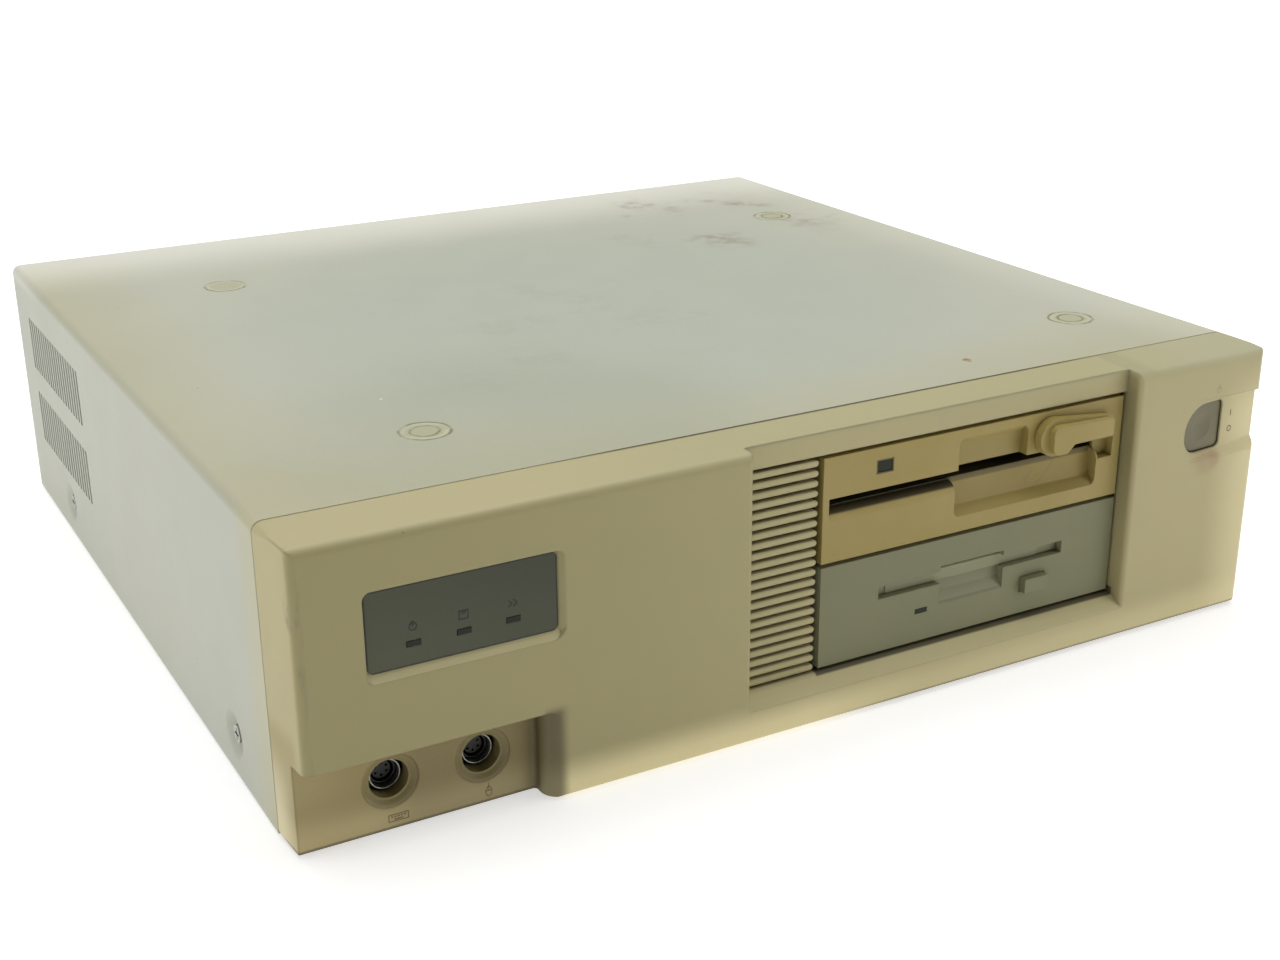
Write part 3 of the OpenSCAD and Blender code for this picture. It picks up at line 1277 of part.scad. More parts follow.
// Bar across the drive, guided in both side walls, with the clamping cone below it
module wide_clamp() {
    bar_t = 2;
    tab_top = lever_z - cam_r - cam_gap;
    color("#b0b2ae") in_case() at_drive(wide_z) {
        slab([groove_x + fit, clamp_y - clamp_half, clamp_z],
            [plate_w - groove_x - fit, clamp_y + clamp_half, clamp_z + bar_t]);
        translate([spindle_x, clamp_y, hub_top + 0.2 + clamp_travel]) rotate_extrude($fn = 64)
            polygon([[0, 0], [7, 0], [11, 3], [16, 3], [16, 5.5], [6, 5.5],
                [6, clamp_z - hub_top - 0.2 - clamp_travel + eps],
                [0, clamp_z - hub_top - 0.2 - clamp_travel + eps]]);
        // follower tab below the cam of the lever
        slab([lever_x - 9, plate_t + 5, tab_top - 1.6], [lever_x + 9, plate_t + 15, tab_top]);
        for (x = [lever_x - 9, lever_x + 5])
            slab([x, plate_t + 12, tab_top - 1.6], [x + 4, clamp_y - clamp_half + 2, clamp_z + bar_t]);
    }
}
module wide_heads() {
    y0 = heads_y;
    color("#55585a") in_case() at_drive(wide_z) difference() {
        union() {
            slab([spindle_x - 8.5, y0, 9], [spindle_x + 8.5, y0 + heads_l, 19]);
            slab([spindle_x - 4, y0 + heads_l - 8, 18], [spindle_x + 4, y0 + heads_l, 30]);
            slab([spindle_x - 4, y0 - 14, 27], [spindle_x + 4, y0 + heads_l, 30]);
            rod_z([spindle_x, y0 - 10, 24.6], 3, 3);
            slab([spindle_x - 16, y0 + 2, 13.4], [spindle_x + 16, y0 + 22, 18.4]);
        }
        for (s = [-1, 1]) rod_y([spindle_x + s * 12.5, y0 - 1, 15.9], 1.5 + run, 30);
    }
}
module wide_stepper() {
    y1 = plate_t + wide_len;
    y0 = heads_y;
    color("#8f9290") in_case() at_drive(wide_z) {
        // guide rods of the heads, in blocks on the deck
        for (s = [-1, 1]) {
            rod_y([spindle_x + s * 12.5, y0 - 12, 15.9], 1.5, 66);
            for (y = [y0 - 12, y0 + 48])
                slab([spindle_x + s * 12.5 - 3, y, 12], [spindle_x + s * 12.5 + 3, y + 6, 18.4]);
        }
        rod_z([plate_w - 30, y1 - 32, 12], 18, 16);
    }
}

// ---------- 3.5 inch drive ----------
module small_plate() {
    mid = [plate_w / 2 - 15.8, plate_w / 2 + 15.8];
    lamp_x = plate_w / 2 - 27.6;
    color("#a9aaa2") in_case() at_drive(bay_z) difference() {
        slab([0, 0, 0], [plate_w, plate_t, small_h]);
        slab([small_slot_x[0], -1, small_slot_z],
            [small_slot_x[1], plate_t + 1, small_slot_z + small_slot_h]);
        // finger hollow across the middle of the slot
        along_x(mid[0], mid[1]) polygon(rounded([[-2, 13.4], [0, 13.6], [3.4, 18], [4, small_slot_z + 1],
            [-2, small_slot_z + 1]], [0, 0, 2, 0, 0]));
        along_x(mid[0], mid[1]) polygon([[-2, small_slot_z + 1], [3, small_slot_z + 1], [3, 28.6], [0, 29.9],
            [-2, 30.4]]);
        // groove above the slot for the pin of the flap, and its bores at both ends
        rod_x([small_slot_x[0], flap_y, flap_pin_z], flap_pin_r + fit, small_slot_x[1] - small_slot_x[0]);
        rod_x([small_slot_x[0] - 2.2, flap_y, flap_pin_z], flap_pin_r + run,
            small_slot_x[1] - small_slot_x[0] + 4.4);
        slab([eject_x - 6.5, -1, eject_z - 3.4], [eject_x + 6.5, plate_t + 1, eject_z + 3.4]);
        slab([lamp_x, -1, 11.9], [lamp_x + 6, plate_t + 1, 14.1]);
    }
}
module small_lamp() {
    color("#4a524c") in_case() at_drive(bay_z)
        slab([plate_w / 2 - 27.5, 0.1, 12], [plate_w / 2 - 21.7, plate_t, 14]);
}
// Dust flap: hangs from a pin along its upper edge and swings inwards
module small_flap() {
    x0 = small_slot_x[0] + 0.3;
    x1 = small_slot_x[1] - 0.3;
    color("#9c9d95") in_case() at_drive(bay_z) {
        slab([x0, flap_y - 0.1, small_slot_z + 0.3], [x1, flap_y + 0.5, flap_pin_z]);
        slab([x0 + 5, flap_y - 0.5, small_slot_z + 0.3], [x1 - 10.4, flap_y, flap_pin_z]);
        rod_x([x0 - 2, flap_y, flap_pin_z], flap_pin_r, x1 - x0 + 4);
    }
}
module small_button() {
    color("#9fa099") in_case() at_drive(bay_z) {
        upright(-3.2, plate_t + 6) rounded_box(eject_x - 6.2, eject_z - 3.1,
            eject_x + 6.2, eject_z + 3.1, 0.6);
        slab([eject_x - 2, plate_t + 6 - eps, eject_z - 2], [eject_x + 2, plate_t + 24, eject_z + 2]);
    }
}
module small_body() {
    y0 = plate_t;
    y1 = plate_t + small_len;
    x0 = small_x0;
    x1 = small_x1;
    floor_z = 8;
    color("#b8bab6") in_case() at_drive(bay_z) {
        difference() {
            slab([x0, y0, 4], [x1, y1, 33]);
            // room for the diskette, open to the slot
            slab([x0 + 3, y0 - 1, small_slot_z - 1], [x1 - 3, y0 + 104, 31]);
            slab([x0 + 3, y0 + 10, floor_z + 4], [x1 - 3, y1 - 3, 31]);
            slab([eject_x - 6.6, y0 - 1, eject_z - 3.5], [eject_x + 6.6, y0 + 11, eject_z + 3.5]);
            slab([eject_x - 2.3, y0 + 8, eject_z - 2.3], [eject_x + 2.3, y0 + 34, eject_z + 2.3]);
            rod_z([spindle_x, small_spin_y, 3], 3 + run, 12);
            slab([x0 + 6, y0 + 30, 3], [x1 - 6, y0 + 92, 7]);
            slab([x0 + 20, y1 - 4, 12], [x1 - 40, y1 + 1, 22]);
        }
        // side rails that fill the width of a 5.25 inch bay
        for (x = [0.4, x1 - eps]) difference() {
            slab([x, y0, 0], [x == 0.4 ? x0 + eps : plate_w - 0.4, y0 + 116, 20]);
            slab([x == 0.4 ? 4 : x1 + 1, y0 + 6, 3], [x == 0.4 ? x0 - 1 : plate_w - 4, y0 + 110, 21]);
            for (y = [46, 106]) rod_x([x - 1, plate_t + y, 10], 1.5, plate_w);
        }
    }
}
module small_spindle() {
    color("#c8c8c4") in_case() at_drive(bay_z) translate([spindle_x, small_spin_y, 0])
        rotate_extrude($fn = 64) polygon([[0, 4.6], [26, 4.6], [26, 6.8], [3, 6.8], [3, 12.2], [14, 12.2],
            [14, 14], [0, 14]]);
}
module small_heads() {
    y0 = small_spin_y + 34;
    color("#55585a") in_case() at_drive(bay_z) {
        slab([spindle_x - 11, y0, 12.2], [spindle_x + 11, y0 + 20, 18]);
        slab([spindle_x - 3, y0 + 12, 17.9], [spindle_x + 3, y0 + 20, 27]);
        slab([spindle_x - 3, y0 - 12, 25], [spindle_x + 3, y0 + 20, 27]);
    }
}

top_cover();
cover_screws();
front_bezel();
louvre_grille();
name_panel();
lamp_lenses();
lamp_board();
chassis_tray();
rear_panel();
drive_cage();
feet();
socket_bay();
socket_wells();
port_board();
keyboard_socket();
mouse_socket();
power_button();
power_switch();
switch_bracket();
speaker();
hard_disk();
disk_bracket();
psu_case();
psu_board();
fan_frame();
fan_rotor();
fan_guard();
power_inlet();
power_outlet();
main_board();
board_standoffs();
board_chips();
memory_modules();
clock_battery();
rear_ports();
riser_card();
card_sockets();
display_card();
port_card();
card_brackets();
slot_covers();
slot_screws();
wide_plate();
wide_frame();
wide_board();
wide_lever();
wide_lamp();
wide_spindle();
wide_clamp();
wide_heads();
wide_stepper();
small_plate();
small_body();
small_flap();
small_button();
small_lamp();
small_spindle();
small_heads();
drive_ribbon();
drive_screws();
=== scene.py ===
# %% [markdown]
# # A desktop computer of about 1990
#
# The lesson dresses a finished mechanical model. The steel cover, the moulded front, the two
# diskette drives and everything inside them arrive as exact solids, and each one stays where
# it is. What is missing is what the eye reads first: paint that has yellowed, soft edges where
# plastic left the mould, dust in the seams, printed marks, and light.

# %% Load the frame
import json
import math

import bmesh
import bpy
from mathutils import Matrix, Vector


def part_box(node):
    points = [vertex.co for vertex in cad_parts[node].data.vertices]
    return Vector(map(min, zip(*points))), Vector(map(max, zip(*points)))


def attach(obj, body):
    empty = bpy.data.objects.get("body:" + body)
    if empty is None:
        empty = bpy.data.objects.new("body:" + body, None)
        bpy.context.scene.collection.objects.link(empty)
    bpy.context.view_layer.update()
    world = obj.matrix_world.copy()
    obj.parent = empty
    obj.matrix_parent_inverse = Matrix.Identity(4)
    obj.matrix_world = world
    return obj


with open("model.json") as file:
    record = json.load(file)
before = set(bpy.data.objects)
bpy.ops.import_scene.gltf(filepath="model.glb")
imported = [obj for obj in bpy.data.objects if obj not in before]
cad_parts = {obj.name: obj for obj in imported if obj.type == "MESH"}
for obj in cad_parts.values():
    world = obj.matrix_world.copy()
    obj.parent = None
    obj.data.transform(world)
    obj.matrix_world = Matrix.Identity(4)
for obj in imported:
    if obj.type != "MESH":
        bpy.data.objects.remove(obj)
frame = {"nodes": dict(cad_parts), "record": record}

MM = 0.001
scene = bpy.context.scene
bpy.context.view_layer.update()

# %% [markdown]
# ## Places
#
# Sizes are taken from the solids where they can be, so that a change of the model carries
# over. The seam between cover and front is the plane y = SEAM, and LEFT and BASE are the left
# side of the cover and the underside of the chassis. Every other place is given in millimetres
# from these planes.

# %% Places on the case
SEAM_GAP_MM = 0.5           # the cover starts this far behind the front

cover_low, cover_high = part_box("top_cover")
LEFT = cover_low.x
SEAM = cover_low.y - SEAM_GAP_MM * MM
BASE = cover_low.z
TOP = cover_high.z
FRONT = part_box("front_bezel")[0].y


def face_mm(name):
    """Where the face of a node is, back from the seam, so what stands forward is negative."""
    return (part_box(name)[0].y - SEAM) / MM


def middle_mm(name):
    """The middle of a node seen from the front: from the left side, and up."""
    low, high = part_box(name)
    return ((low.x + high.x) / 2 - LEFT) / MM, ((low.z + high.z) / 2 - BASE) / MM


TOP_MM = (TOP - BASE) / MM
FRONT_MM = face_mm("front_bezel")
PLATES_MM = face_mm("wide_plate")
SOCKETS = [middle_mm(name) for name in ("keyboard_socket", "mouse_socket")]
RECESS_MM = -16             # back wall of the socket recess
BARS_X = 166                # a little left of the channel that holds the bars
DRIVES_X = (207, 358)       # a little wider than the opening round the drives' plates
HOLLOW_X = 385.8            # the finger hollow beside the button leans back from this line
HOLLOW_TURN = math.atan2(4.6, 47.2)


def at(x, y, z):
    """A point in the case's own millimetres: from its left side, back from the seam, up."""
    return Vector((LEFT + x * MM, SEAM + y * MM, BASE + z * MM))


print("faces back from the seam, in mm:", [round(v, 2) for v in (FRONT_MM, PLATES_MM)])
print("round sockets:", [[round(v, 1) for v in pair] for pair in SOCKETS])

# %% [markdown]
# ## Camera
#
# A camera is a point, three angles and a lens. Seen from the front left and a little above,
# the long edges run to the right and the depth is foreshortened. The matrix is built from the
# three directions of the camera, because the small roll can then be added in one line.

# %% Camera
LENS_MM = 49.906
SENSOR_MM = 36
AZIMUTH, ELEVATION, ROLL = (math.radians(a) for a in (-28.964, 21.123, -0.444))
EYE = at(-144.51, -518.12, 331.2)

back = Vector((math.sin(AZIMUTH) * math.cos(ELEVATION),
               -math.cos(AZIMUTH) * math.cos(ELEVATION), math.sin(ELEVATION)))
level = Vector((0, 0, 1)).cross(back).normalized()
upward = back.cross(level)
right = level * math.cos(ROLL) + upward * math.sin(ROLL)
up = upward * math.cos(ROLL) - level * math.sin(ROLL)

camera = bpy.data.objects.new("camera", bpy.data.cameras.new("camera"))
camera.data.lens = LENS_MM
camera.data.sensor_width = SENSOR_MM
camera.data.clip_start = 0.01
camera.matrix_world = Matrix.Translation(EYE) @ Matrix((right, up, back)).transposed().to_4x4()
scene.collection.objects.link(camera)
bpy.context.scene.camera = camera
print("camera at", [round(v, 4) for v in EYE])

# %% [markdown]
# ## Light
#
# The computer stands in a white tent. A tent lights from everywhere except where the camera
# looks in, so the front is a little darker than the ends and the top. Large area lights stand
# for its walls, and a pale world fills the rest. The standard view transform keeps white paper
# white.

# %% Light
WORLD_STRENGTH = 0.12


def soft_box(name, place, aim, width, height, power):
    """A large rectangular light that faces a point. Sizes are in metres, power in watts."""
    lamp = bpy.data.objects.new(name, bpy.data.lights.new(name, "AREA"))
    lamp.data.shape = "RECTANGLE"
    lamp.data.size, lamp.data.size_y = width, height
    lamp.data.energy = power
    lamp.location = place
    lamp.rotation_mode = "QUATERNION"
    lamp.rotation_quaternion = (Vector(place) - Vector(aim)).to_track_quat("Z", "Y")
    scene.collection.objects.link(lamp)


scene.view_settings.view_transform = "Standard"
middle = (0, 0, 0.06)
soft_box("light_top", (0.1, 0.25, 1.5), middle, 1.8, 2.0, 29)
soft_box("light_left", (-1.5, 0.3, 0.6), middle, 1.4, 1.2, 7.8)
soft_box("light_right", (0.75, -0.75, 0.35), (0.2, -0.2, 0.06), 0.5, 0.5, 2.1)

world = bpy.data.worlds.new("tent")
scene.world = world
world.use_nodes = True
world.node_tree.nodes["Background"].inputs["Color"].default_value = (1, 1, 1, 1)
world.node_tree.nodes["Background"].inputs["Strength"].default_value = WORLD_STRENGTH

# %% [markdown]
# ## Floor and wall of the tent
#
# The floor is one large square. The wall is a wide sphere turned inside out: the camera sees
# it, so that the background stays white from low down too, but it lights nothing itself.

# %% Floor and wall of the tent
FLOOR_HALF = 6              # metres
WALL_RADIUS = 5.5


def from_shape(name, shape):
    """Turns a shape into an object of the scene."""
    made = bpy.data.objects.new(name, bpy.data.meshes.new(name))
    shape.to_mesh(made.data)
    shape.free()
    scene.collection.objects.link(made)
    return made


sheet = bmesh.new()
bmesh.ops.create_grid(sheet, x_segments=1, y_segments=1, size=FLOOR_HALF)
floor = from_shape("floor", sheet)

dome = bmesh.new()
bmesh.ops.create_icosphere(dome, subdivisions=4, radius=WALL_RADIUS)
bmesh.ops.reverse_faces(dome, faces=dome.faces)
wall = from_shape("tent_wall", dome)
wall.visible_diffuse = wall.visible_glossy = False
wall.visible_transmission = wall.visible_shadow = False
print("stage:", floor.name, "and", wall.name)

# %% [markdown]
# ## Smooth curves, crisp edges
#
# The solids come as loose flat triangles. Three modifiers turn them into surfaces that shade
# well: WELD joins the triangles, EDGE_SPLIT parts them again wherever two faces meet at more
# than 32 degrees, and WEIGHTED_NORMAL lets the large flat faces rule over the narrow facets
# beside them. The solids themselves stay as they are. The small radius of every edge comes
# later, from a Bevel node in each material, because a radius of half a millimetre is only ever
# seen as a line of light.

# %% Smooth curves, crisp edges
WELD_MM = 0.002
CREASE_DEG = 32

for name, node in frame["nodes"].items():
    node.data.polygons.foreach_set("use_smooth", [True] * len(node.data.polygons))
    node.modifiers.new("join", "WELD").merge_threshold = WELD_MM * MM
    node.modifiers.new("creases", "EDGE_SPLIT").split_angle = math.radians(CREASE_DEG)
    node.modifiers.new("level", "WEIGHTED_NORMAL").weight = 100
print("nodes with smooth curves:", len(frame["nodes"]))

# %% [markdown]
# ## How a material is made
#
# Every finish is a small tree of shader nodes. One helper adds a node, sets it and links it,
# so a material reads like a recipe. Colours are written as the sRGB hex values that a paint
# chart gives and turned to linear light once.

# %% Colours and nodes


def linear(code):
    """sRGB hex to linear RGBA."""
    parts = [int(code[i:i + 2], 16) / 255 for i in (1, 3, 5)]
    return (*[p / 12.92 if p <= 0.04045 else ((p + 0.055) / 1.055) ** 2.4 for p in parts], 1)


def shade(code, factor):
    """A hex colour, made lighter or darker in linear light."""
    return (*[min(1, p * factor) for p in linear(code)[:3]], 1)


def add(tree, kind, inputs, out=None, **settings):
    """Adds a node, gives its sockets values or links, and returns the output asked for."""
    node = tree.nodes.new("ShaderNode" + kind)
    for name, value in settings.items():
        setattr(node, name, value)
    for name, value in inputs.items():
        if isinstance(value, bpy.types.NodeSocket):
            tree.links.new(value, node.inputs[name])
        else:
            node.inputs[name].default_value = value
    return node.outputs[out] if out else next(o for o in node.outputs if o.enabled)


def new_material(name):
    """An empty material: its tree, its shader and the place on the piece in metres."""
    material = bpy.data.materials.new(name)
    material.use_nodes = True
    tree = material.node_tree
    return material, tree, tree.nodes["Principled BSDF"], add(tree, "TexCoord", {}, "Object")


def blend(tree, factor, low, high):
    """Two hex colours, mixed by a factor."""
    return add(tree, "Mix", {"Factor": factor, "A": linear(low), "B": linear(high)},
               data_type="RGBA")


print("linear value of middle grey:", round(linear("#808080")[0], 4))

# %% [markdown]
# ## Masks
#
# A mask is a number from 0 to 1 on every point of a surface. The basic ones fade along one
# coordinate, between two planes of the case. Masks are multiplied where all of them must hold
# and added where one is enough.

# %% Masks


def fade(tree, value, start, end):
    """0 where the value is at start, 1 where it is at end, smooth between them."""
    return add(tree, "MapRange", {"Value": value, "From Min": start, "From Max": end},
               interpolation_type="SMOOTHSTEP")


def span(tree, value, origin, start_mm, end_mm):
    """A fade between two planes, each in millimetres from an origin."""
    return fade(tree, value, origin + start_mm * MM, origin + end_mm * MM)


def both(tree, first, second, operation="MULTIPLY"):
    """Two masks joined into one that stays between 0 and 1."""
    return add(tree, "Math", {0: first, 1: second}, operation=operation, use_clamp=True)


def overlap(tree, mask, *others):
    """1 only where all the masks are."""
    for other in others:
        mask = both(tree, mask, other)
    return mask


def between(tree, value, origin, low_mm, high_mm, soft_mm, soft_high_mm=None):
    """1 between two planes, with soft edges inside them."""
    return both(tree, span(tree, value, origin, low_mm, low_mm + soft_mm),
                span(tree, value, origin, high_mm, high_mm - (soft_high_mm or soft_mm)))


print("masks:", [f.__name__ for f in (fade, span, both, overlap, between)])

# %% [markdown]
# ## Coats
#
# A coat lays a colour over what is there, as strongly as its mask says. Stains build up in the
# order in which they came, so a finish is mostly a list of coats.

# %% Coats


def coat(tree, under, colour, mask, most=1.0):
    """Lays a colour over what is there, as strongly as the mask says."""
    return add(tree, "Mix", {"Factor": both(tree, mask, most), "A": under, "B": colour},
               data_type="RGBA")


def coats(tree, colour, layers, within=None):
    """Coat over coat, each with its hex colour, its mask and its strength."""
    for code, mask, most in layers:
        mask = both(tree, mask, within) if within else mask
        colour = coat(tree, colour, linear(code), mask, most)
    return colour


print("made", coat.__name__, "and", coats.__name__)

# %% [markdown]
# ## Coordinates and distances
#
# The place on a piece is split into its three coordinates, and masks are made from how far a
# point is from a plane or from the box of another piece.

# %% Coordinates and distances


def axes(tree, place):
    """The three coordinates of a place, in metres."""
    split = add(tree, "SeparateXYZ", {"Vector": place}).node
    return split.outputs["X"], split.outputs["Y"], split.outputs["Z"]


def off(tree, value, middle):
    """How far a coordinate is from a plane, with its sign."""
    return add(tree, "Math", {0: value, 1: middle}, operation="SUBTRACT")


def apart(tree, value, middle):
    """How far a coordinate is from a plane, on either side."""
    return add(tree, "Math", {0: off(tree, value, middle)}, operation="ABSOLUTE")


def larger(tree, first, second):
    """The larger of two values."""
    return add(tree, "Math", {0: first, 1: second}, operation="MAXIMUM")


def outside(tree, x, z, name):
    """How far a point is outside the box of a node, seen from the front."""
    low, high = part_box(name)
    return larger(tree, *[off(tree, apart(tree, value, (start + end) / 2), (end - start) / 2)
                          for value, start, end in ((x, low.x, high.x), (z, low.z, high.z))])


print("distances:", [f.__name__ for f in (off, apart, larger, outside)])

# %% [markdown]
# ## Patterns
#
# Patterns are placed in the case's own metres, so a stain stays where the hand or the monitor
# foot left it, and their sizes are real millimetres. Noise gives soft blotches and uneven
# shine, and it pushes a place about, so that what is drawn there gets a ragged edge.

# %% Patterns


def per_metre(size_mm):
    """Scale of a noise whose blotches are about size_mm across."""
    return 1 / (size_mm * MM)


def mottle(tree, place, size_mm, detail=3):
    """Soft blotches of a given size, from 0 to 1."""
    return add(tree, "TexNoise", {"Vector": place, "Scale": per_metre(size_mm), "Detail": detail,
                                  "Roughness": 0.55})


def uneven_shine(tree, place, size_mm, roughness, detail=3):
    """A roughness that rises a little more than it falls."""
    return add(tree, "MapRange", {"Value": mottle(tree, place, size_mm, detail),
                                  "To Min": roughness - 0.08, "To Max": roughness + 0.1})


def stretched(tree, place, factors):
    """The place with each coordinate multiplied, which draws a pattern out along an axis."""
    return add(tree, "VectorMath", {0: place, 1: factors}, operation="MULTIPLY")


def ragged(tree, place, size_mm, reach_mm):
    """The place, pushed about so that an edge drawn with it is uneven."""
    push = add(tree, "TexNoise", {"Vector": place, "Scale": per_metre(size_mm), "Detail": 3},
               "Color")
    centred = add(tree, "VectorMath", {0: push, 1: (0.5, 0.5, 0.5)}, operation="SUBTRACT")
    return add(tree, "VectorMath", {0: centred, 1: (2 * reach_mm * MM,) * 3, 2: place},
               operation="MULTIPLY_ADD")


print("a blotch of 40 mm has the scale", per_metre(40))

# %% [markdown]
# ## Spots, rings and specks
#
# Marks with a place of their own are drawn by distance: a spot is near a point, and a ring is
# near a circle. Specks are dots in the cells of a Voronoi pattern, and only a random few of the
# cells hold one.

# %% Spots, rings and specks


def spot(tree, place, centre, radius_mm, soft_mm):
    """1 within a radius of a point, 0 beyond the soft rim."""
    away = add(tree, "VectorMath", {0: place, 1: centre}, "Value", operation="DISTANCE")
    return fade(tree, away, (radius_mm + soft_mm) * MM, radius_mm * MM)


def rings(tree, place, centres, radius_mm, width_mm):
    """Thin circles round several points: the marks that rubber feet leave."""
    total = 0.0
    for centre in centres:
        away = add(tree, "VectorMath", {0: place, 1: centre}, "Value", operation="DISTANCE")
        near = fade(tree, apart(tree, away, radius_mm * MM), width_mm * MM, 0)
        total = both(tree, near, total, "ADD")
    return total


def specks(tree, place, spacing_mm, radius_mm, share):
    """Scattered dots. share is how many of the cells hold one."""
    cell = add(tree, "TexVoronoi", {"Vector": place, "Scale": per_metre(spacing_mm)}, "Distance")
    dot = fade(tree, cell, radius_mm / spacing_mm, 0.5 * radius_mm / spacing_mm)
    luck, _, _ = axes(tree, cell.node.outputs["Color"])
    return both(tree, dot, fade(tree, luck, 1 - share, 1.001 - share))


print("marks:", [f.__name__ for f in (spot, rings, specks)])

# %% [markdown]
# ## Edges and relief
#
# The last helper connects the colour and the shine to the shader. It also rounds the normals
# near every edge with a Bevel node and lays the fine relief on top. Where two pieces meet
# flush, a mask keeps the radius away, or the joint would show as a groove.

# %% Finish a shader


def finish(tree, shader, colour, roughness, relief=None, depth_mm=0.02, metallic=0.0,
           specular=0.5, edge_mm=0.3, plain=None):
    """Connects colour, shine, edge radius and relief to the shader. plain masks the radius."""
    for name, value in (("Base Color", colour), ("Roughness", roughness)):
        if isinstance(value, bpy.types.NodeSocket):
            tree.links.new(value, shader.inputs[name])
        else:
            shader.inputs[name].default_value = value
    shader.inputs["Metallic"].default_value = metallic
    shader.inputs["Specular IOR Level"].default_value = specular
    soft = add(tree, "Bevel", {"Radius": edge_mm * MM}, samples=4)
    if plain:
        sharp = add(tree, "NewGeometry", {}, "Normal")
        soft = add(tree, "Mix", {"Factor": plain, "A": soft, "B": sharp}, data_type="VECTOR")
    if relief:
        soft = add(tree, "Bump", {"Height": relief, "Distance": depth_mm * MM, "Strength": 1,
                                  "Normal": soft})
    tree.links.new(soft, shader.inputs["Normal"])


print("edges have a radius of", finish.__defaults__[-2], "mm where nothing else is said")

# %% [markdown]
# ## Stains and painted light of the cover
#
# Thirty years have yellowed the cover's paint along the front and the left bend, where the sun came
# in. Painted light makes it paler along the right and the far edge, where the white tent glows
# round the case. Hands and spills have left the rest. The coats go from the broad to the small, and
# noise breaks up the small ones.

# %% Stains and painted light of the cover


def cover_stains_and_light(tree, place, colour):
    """What sun and use have left on the top and the left side, and painted light along the right
    and the far edge.
    """
    x, y, z = axes(tree, place)
    blurred = ragged(tree, place, 60, 14)
    blurred_x, blurred_y, _ = axes(tree, blurred)
    top_only = span(tree, z, TOP, -5, -1)
    side_only = span(tree, x, LEFT, 4, 1)
    yellow = both(tree, span(tree, blurred_y, SEAM, 70, -6),
                  span(tree, blurred_x, LEFT, 62, -6), "ADD")
    colour = coats(tree, colour, (
        ("#b1ac8b", yellow, 0.65),
        ("#aaa27c", spot(tree, blurred, at(8, 4, TOP_MM), 10, 45), 0.22),
        # a cooler grey middle, where things stood on it
        ("#a9b0a2", spot(tree, blurred, at(215, 170, TOP_MM), 90, 120), 0.7),
        # darker where hands took hold along the front, and painted light towards the right
        ("#9da087", spot(tree, blurred, at(112, 42, TOP_MM), 48, 72), 0.42),
        ("#dad9c6", span(tree, x, LEFT, 385, 428), 0.36),
    ), top_only)
    colour = coats(tree, colour, (
        # painted light along the far edge, and grey on the left side, yellow only beside the seam
        ("#e6e5d9", both(tree, span(tree, y, SEAM, 306, 390), span(tree, z, TOP, -9, -2)), 0.66),
        ("#a5aaa1", side_only, 0.22),
        ("#b8b38f", both(tree, span(tree, y, SEAM, 30, 0), side_only), 0.7),
    ))
    # drips and smears of something brown, broken up by two noises
    broken = both(tree, fade(tree, mottle(tree, place, 34, 5), 0.5, 0.68),
                  fade(tree, mottle(tree, place, 9, 3), 0.35, 0.6))
    smears = both(tree, spot(tree, blurred, at(350, 300, TOP_MM), 34, 50),
                  both(tree, spot(tree, blurred, at(190, 150, TOP_MM), 45, 70), 0.16), "ADD")
    drip = both(tree, spot(tree, ragged(tree, place, 3, 1.6), at(306.9, 21.8, TOP_MM), 1.4, 1.6),
                fade(tree, mottle(tree, place, 2), 0.4, 0.55))
    return coats(tree, colour, (
        ("#8d806a", overlap(tree, smears, broken, top_only), 0.8),
        ("#96673f", drip, 0.9),
    ))


print("made", cover_stains_and_light.__name__)

# %% [markdown]
# ## Baked enamel of the cover
#
# The steel cover is sprayed with a grey enamel and baked, which leaves a skin like fine orange
# peel. The rubber feet of a monitor have left four rings on it, and the middle of the seam to the
# front is darkened with dust and painted shade.

# %% Baked enamel of the cover
FOOT_MARKS = [at(x, y, TOP_MM)
              for x, y in ((80.1, 292), (82.3, 53.1), (383.4, 284.3), (385.1, 47.8))]
# dust and painted shade along the seam, on the cover and the front
SEAM_DUST_AND_SHADE = "#5b5238"


def seam_reach(tree, x):
    """The seam's dust and painted shade fill its middle and fade out towards its ends."""
    return between(tree, x, LEFT, 95, 375, 55)


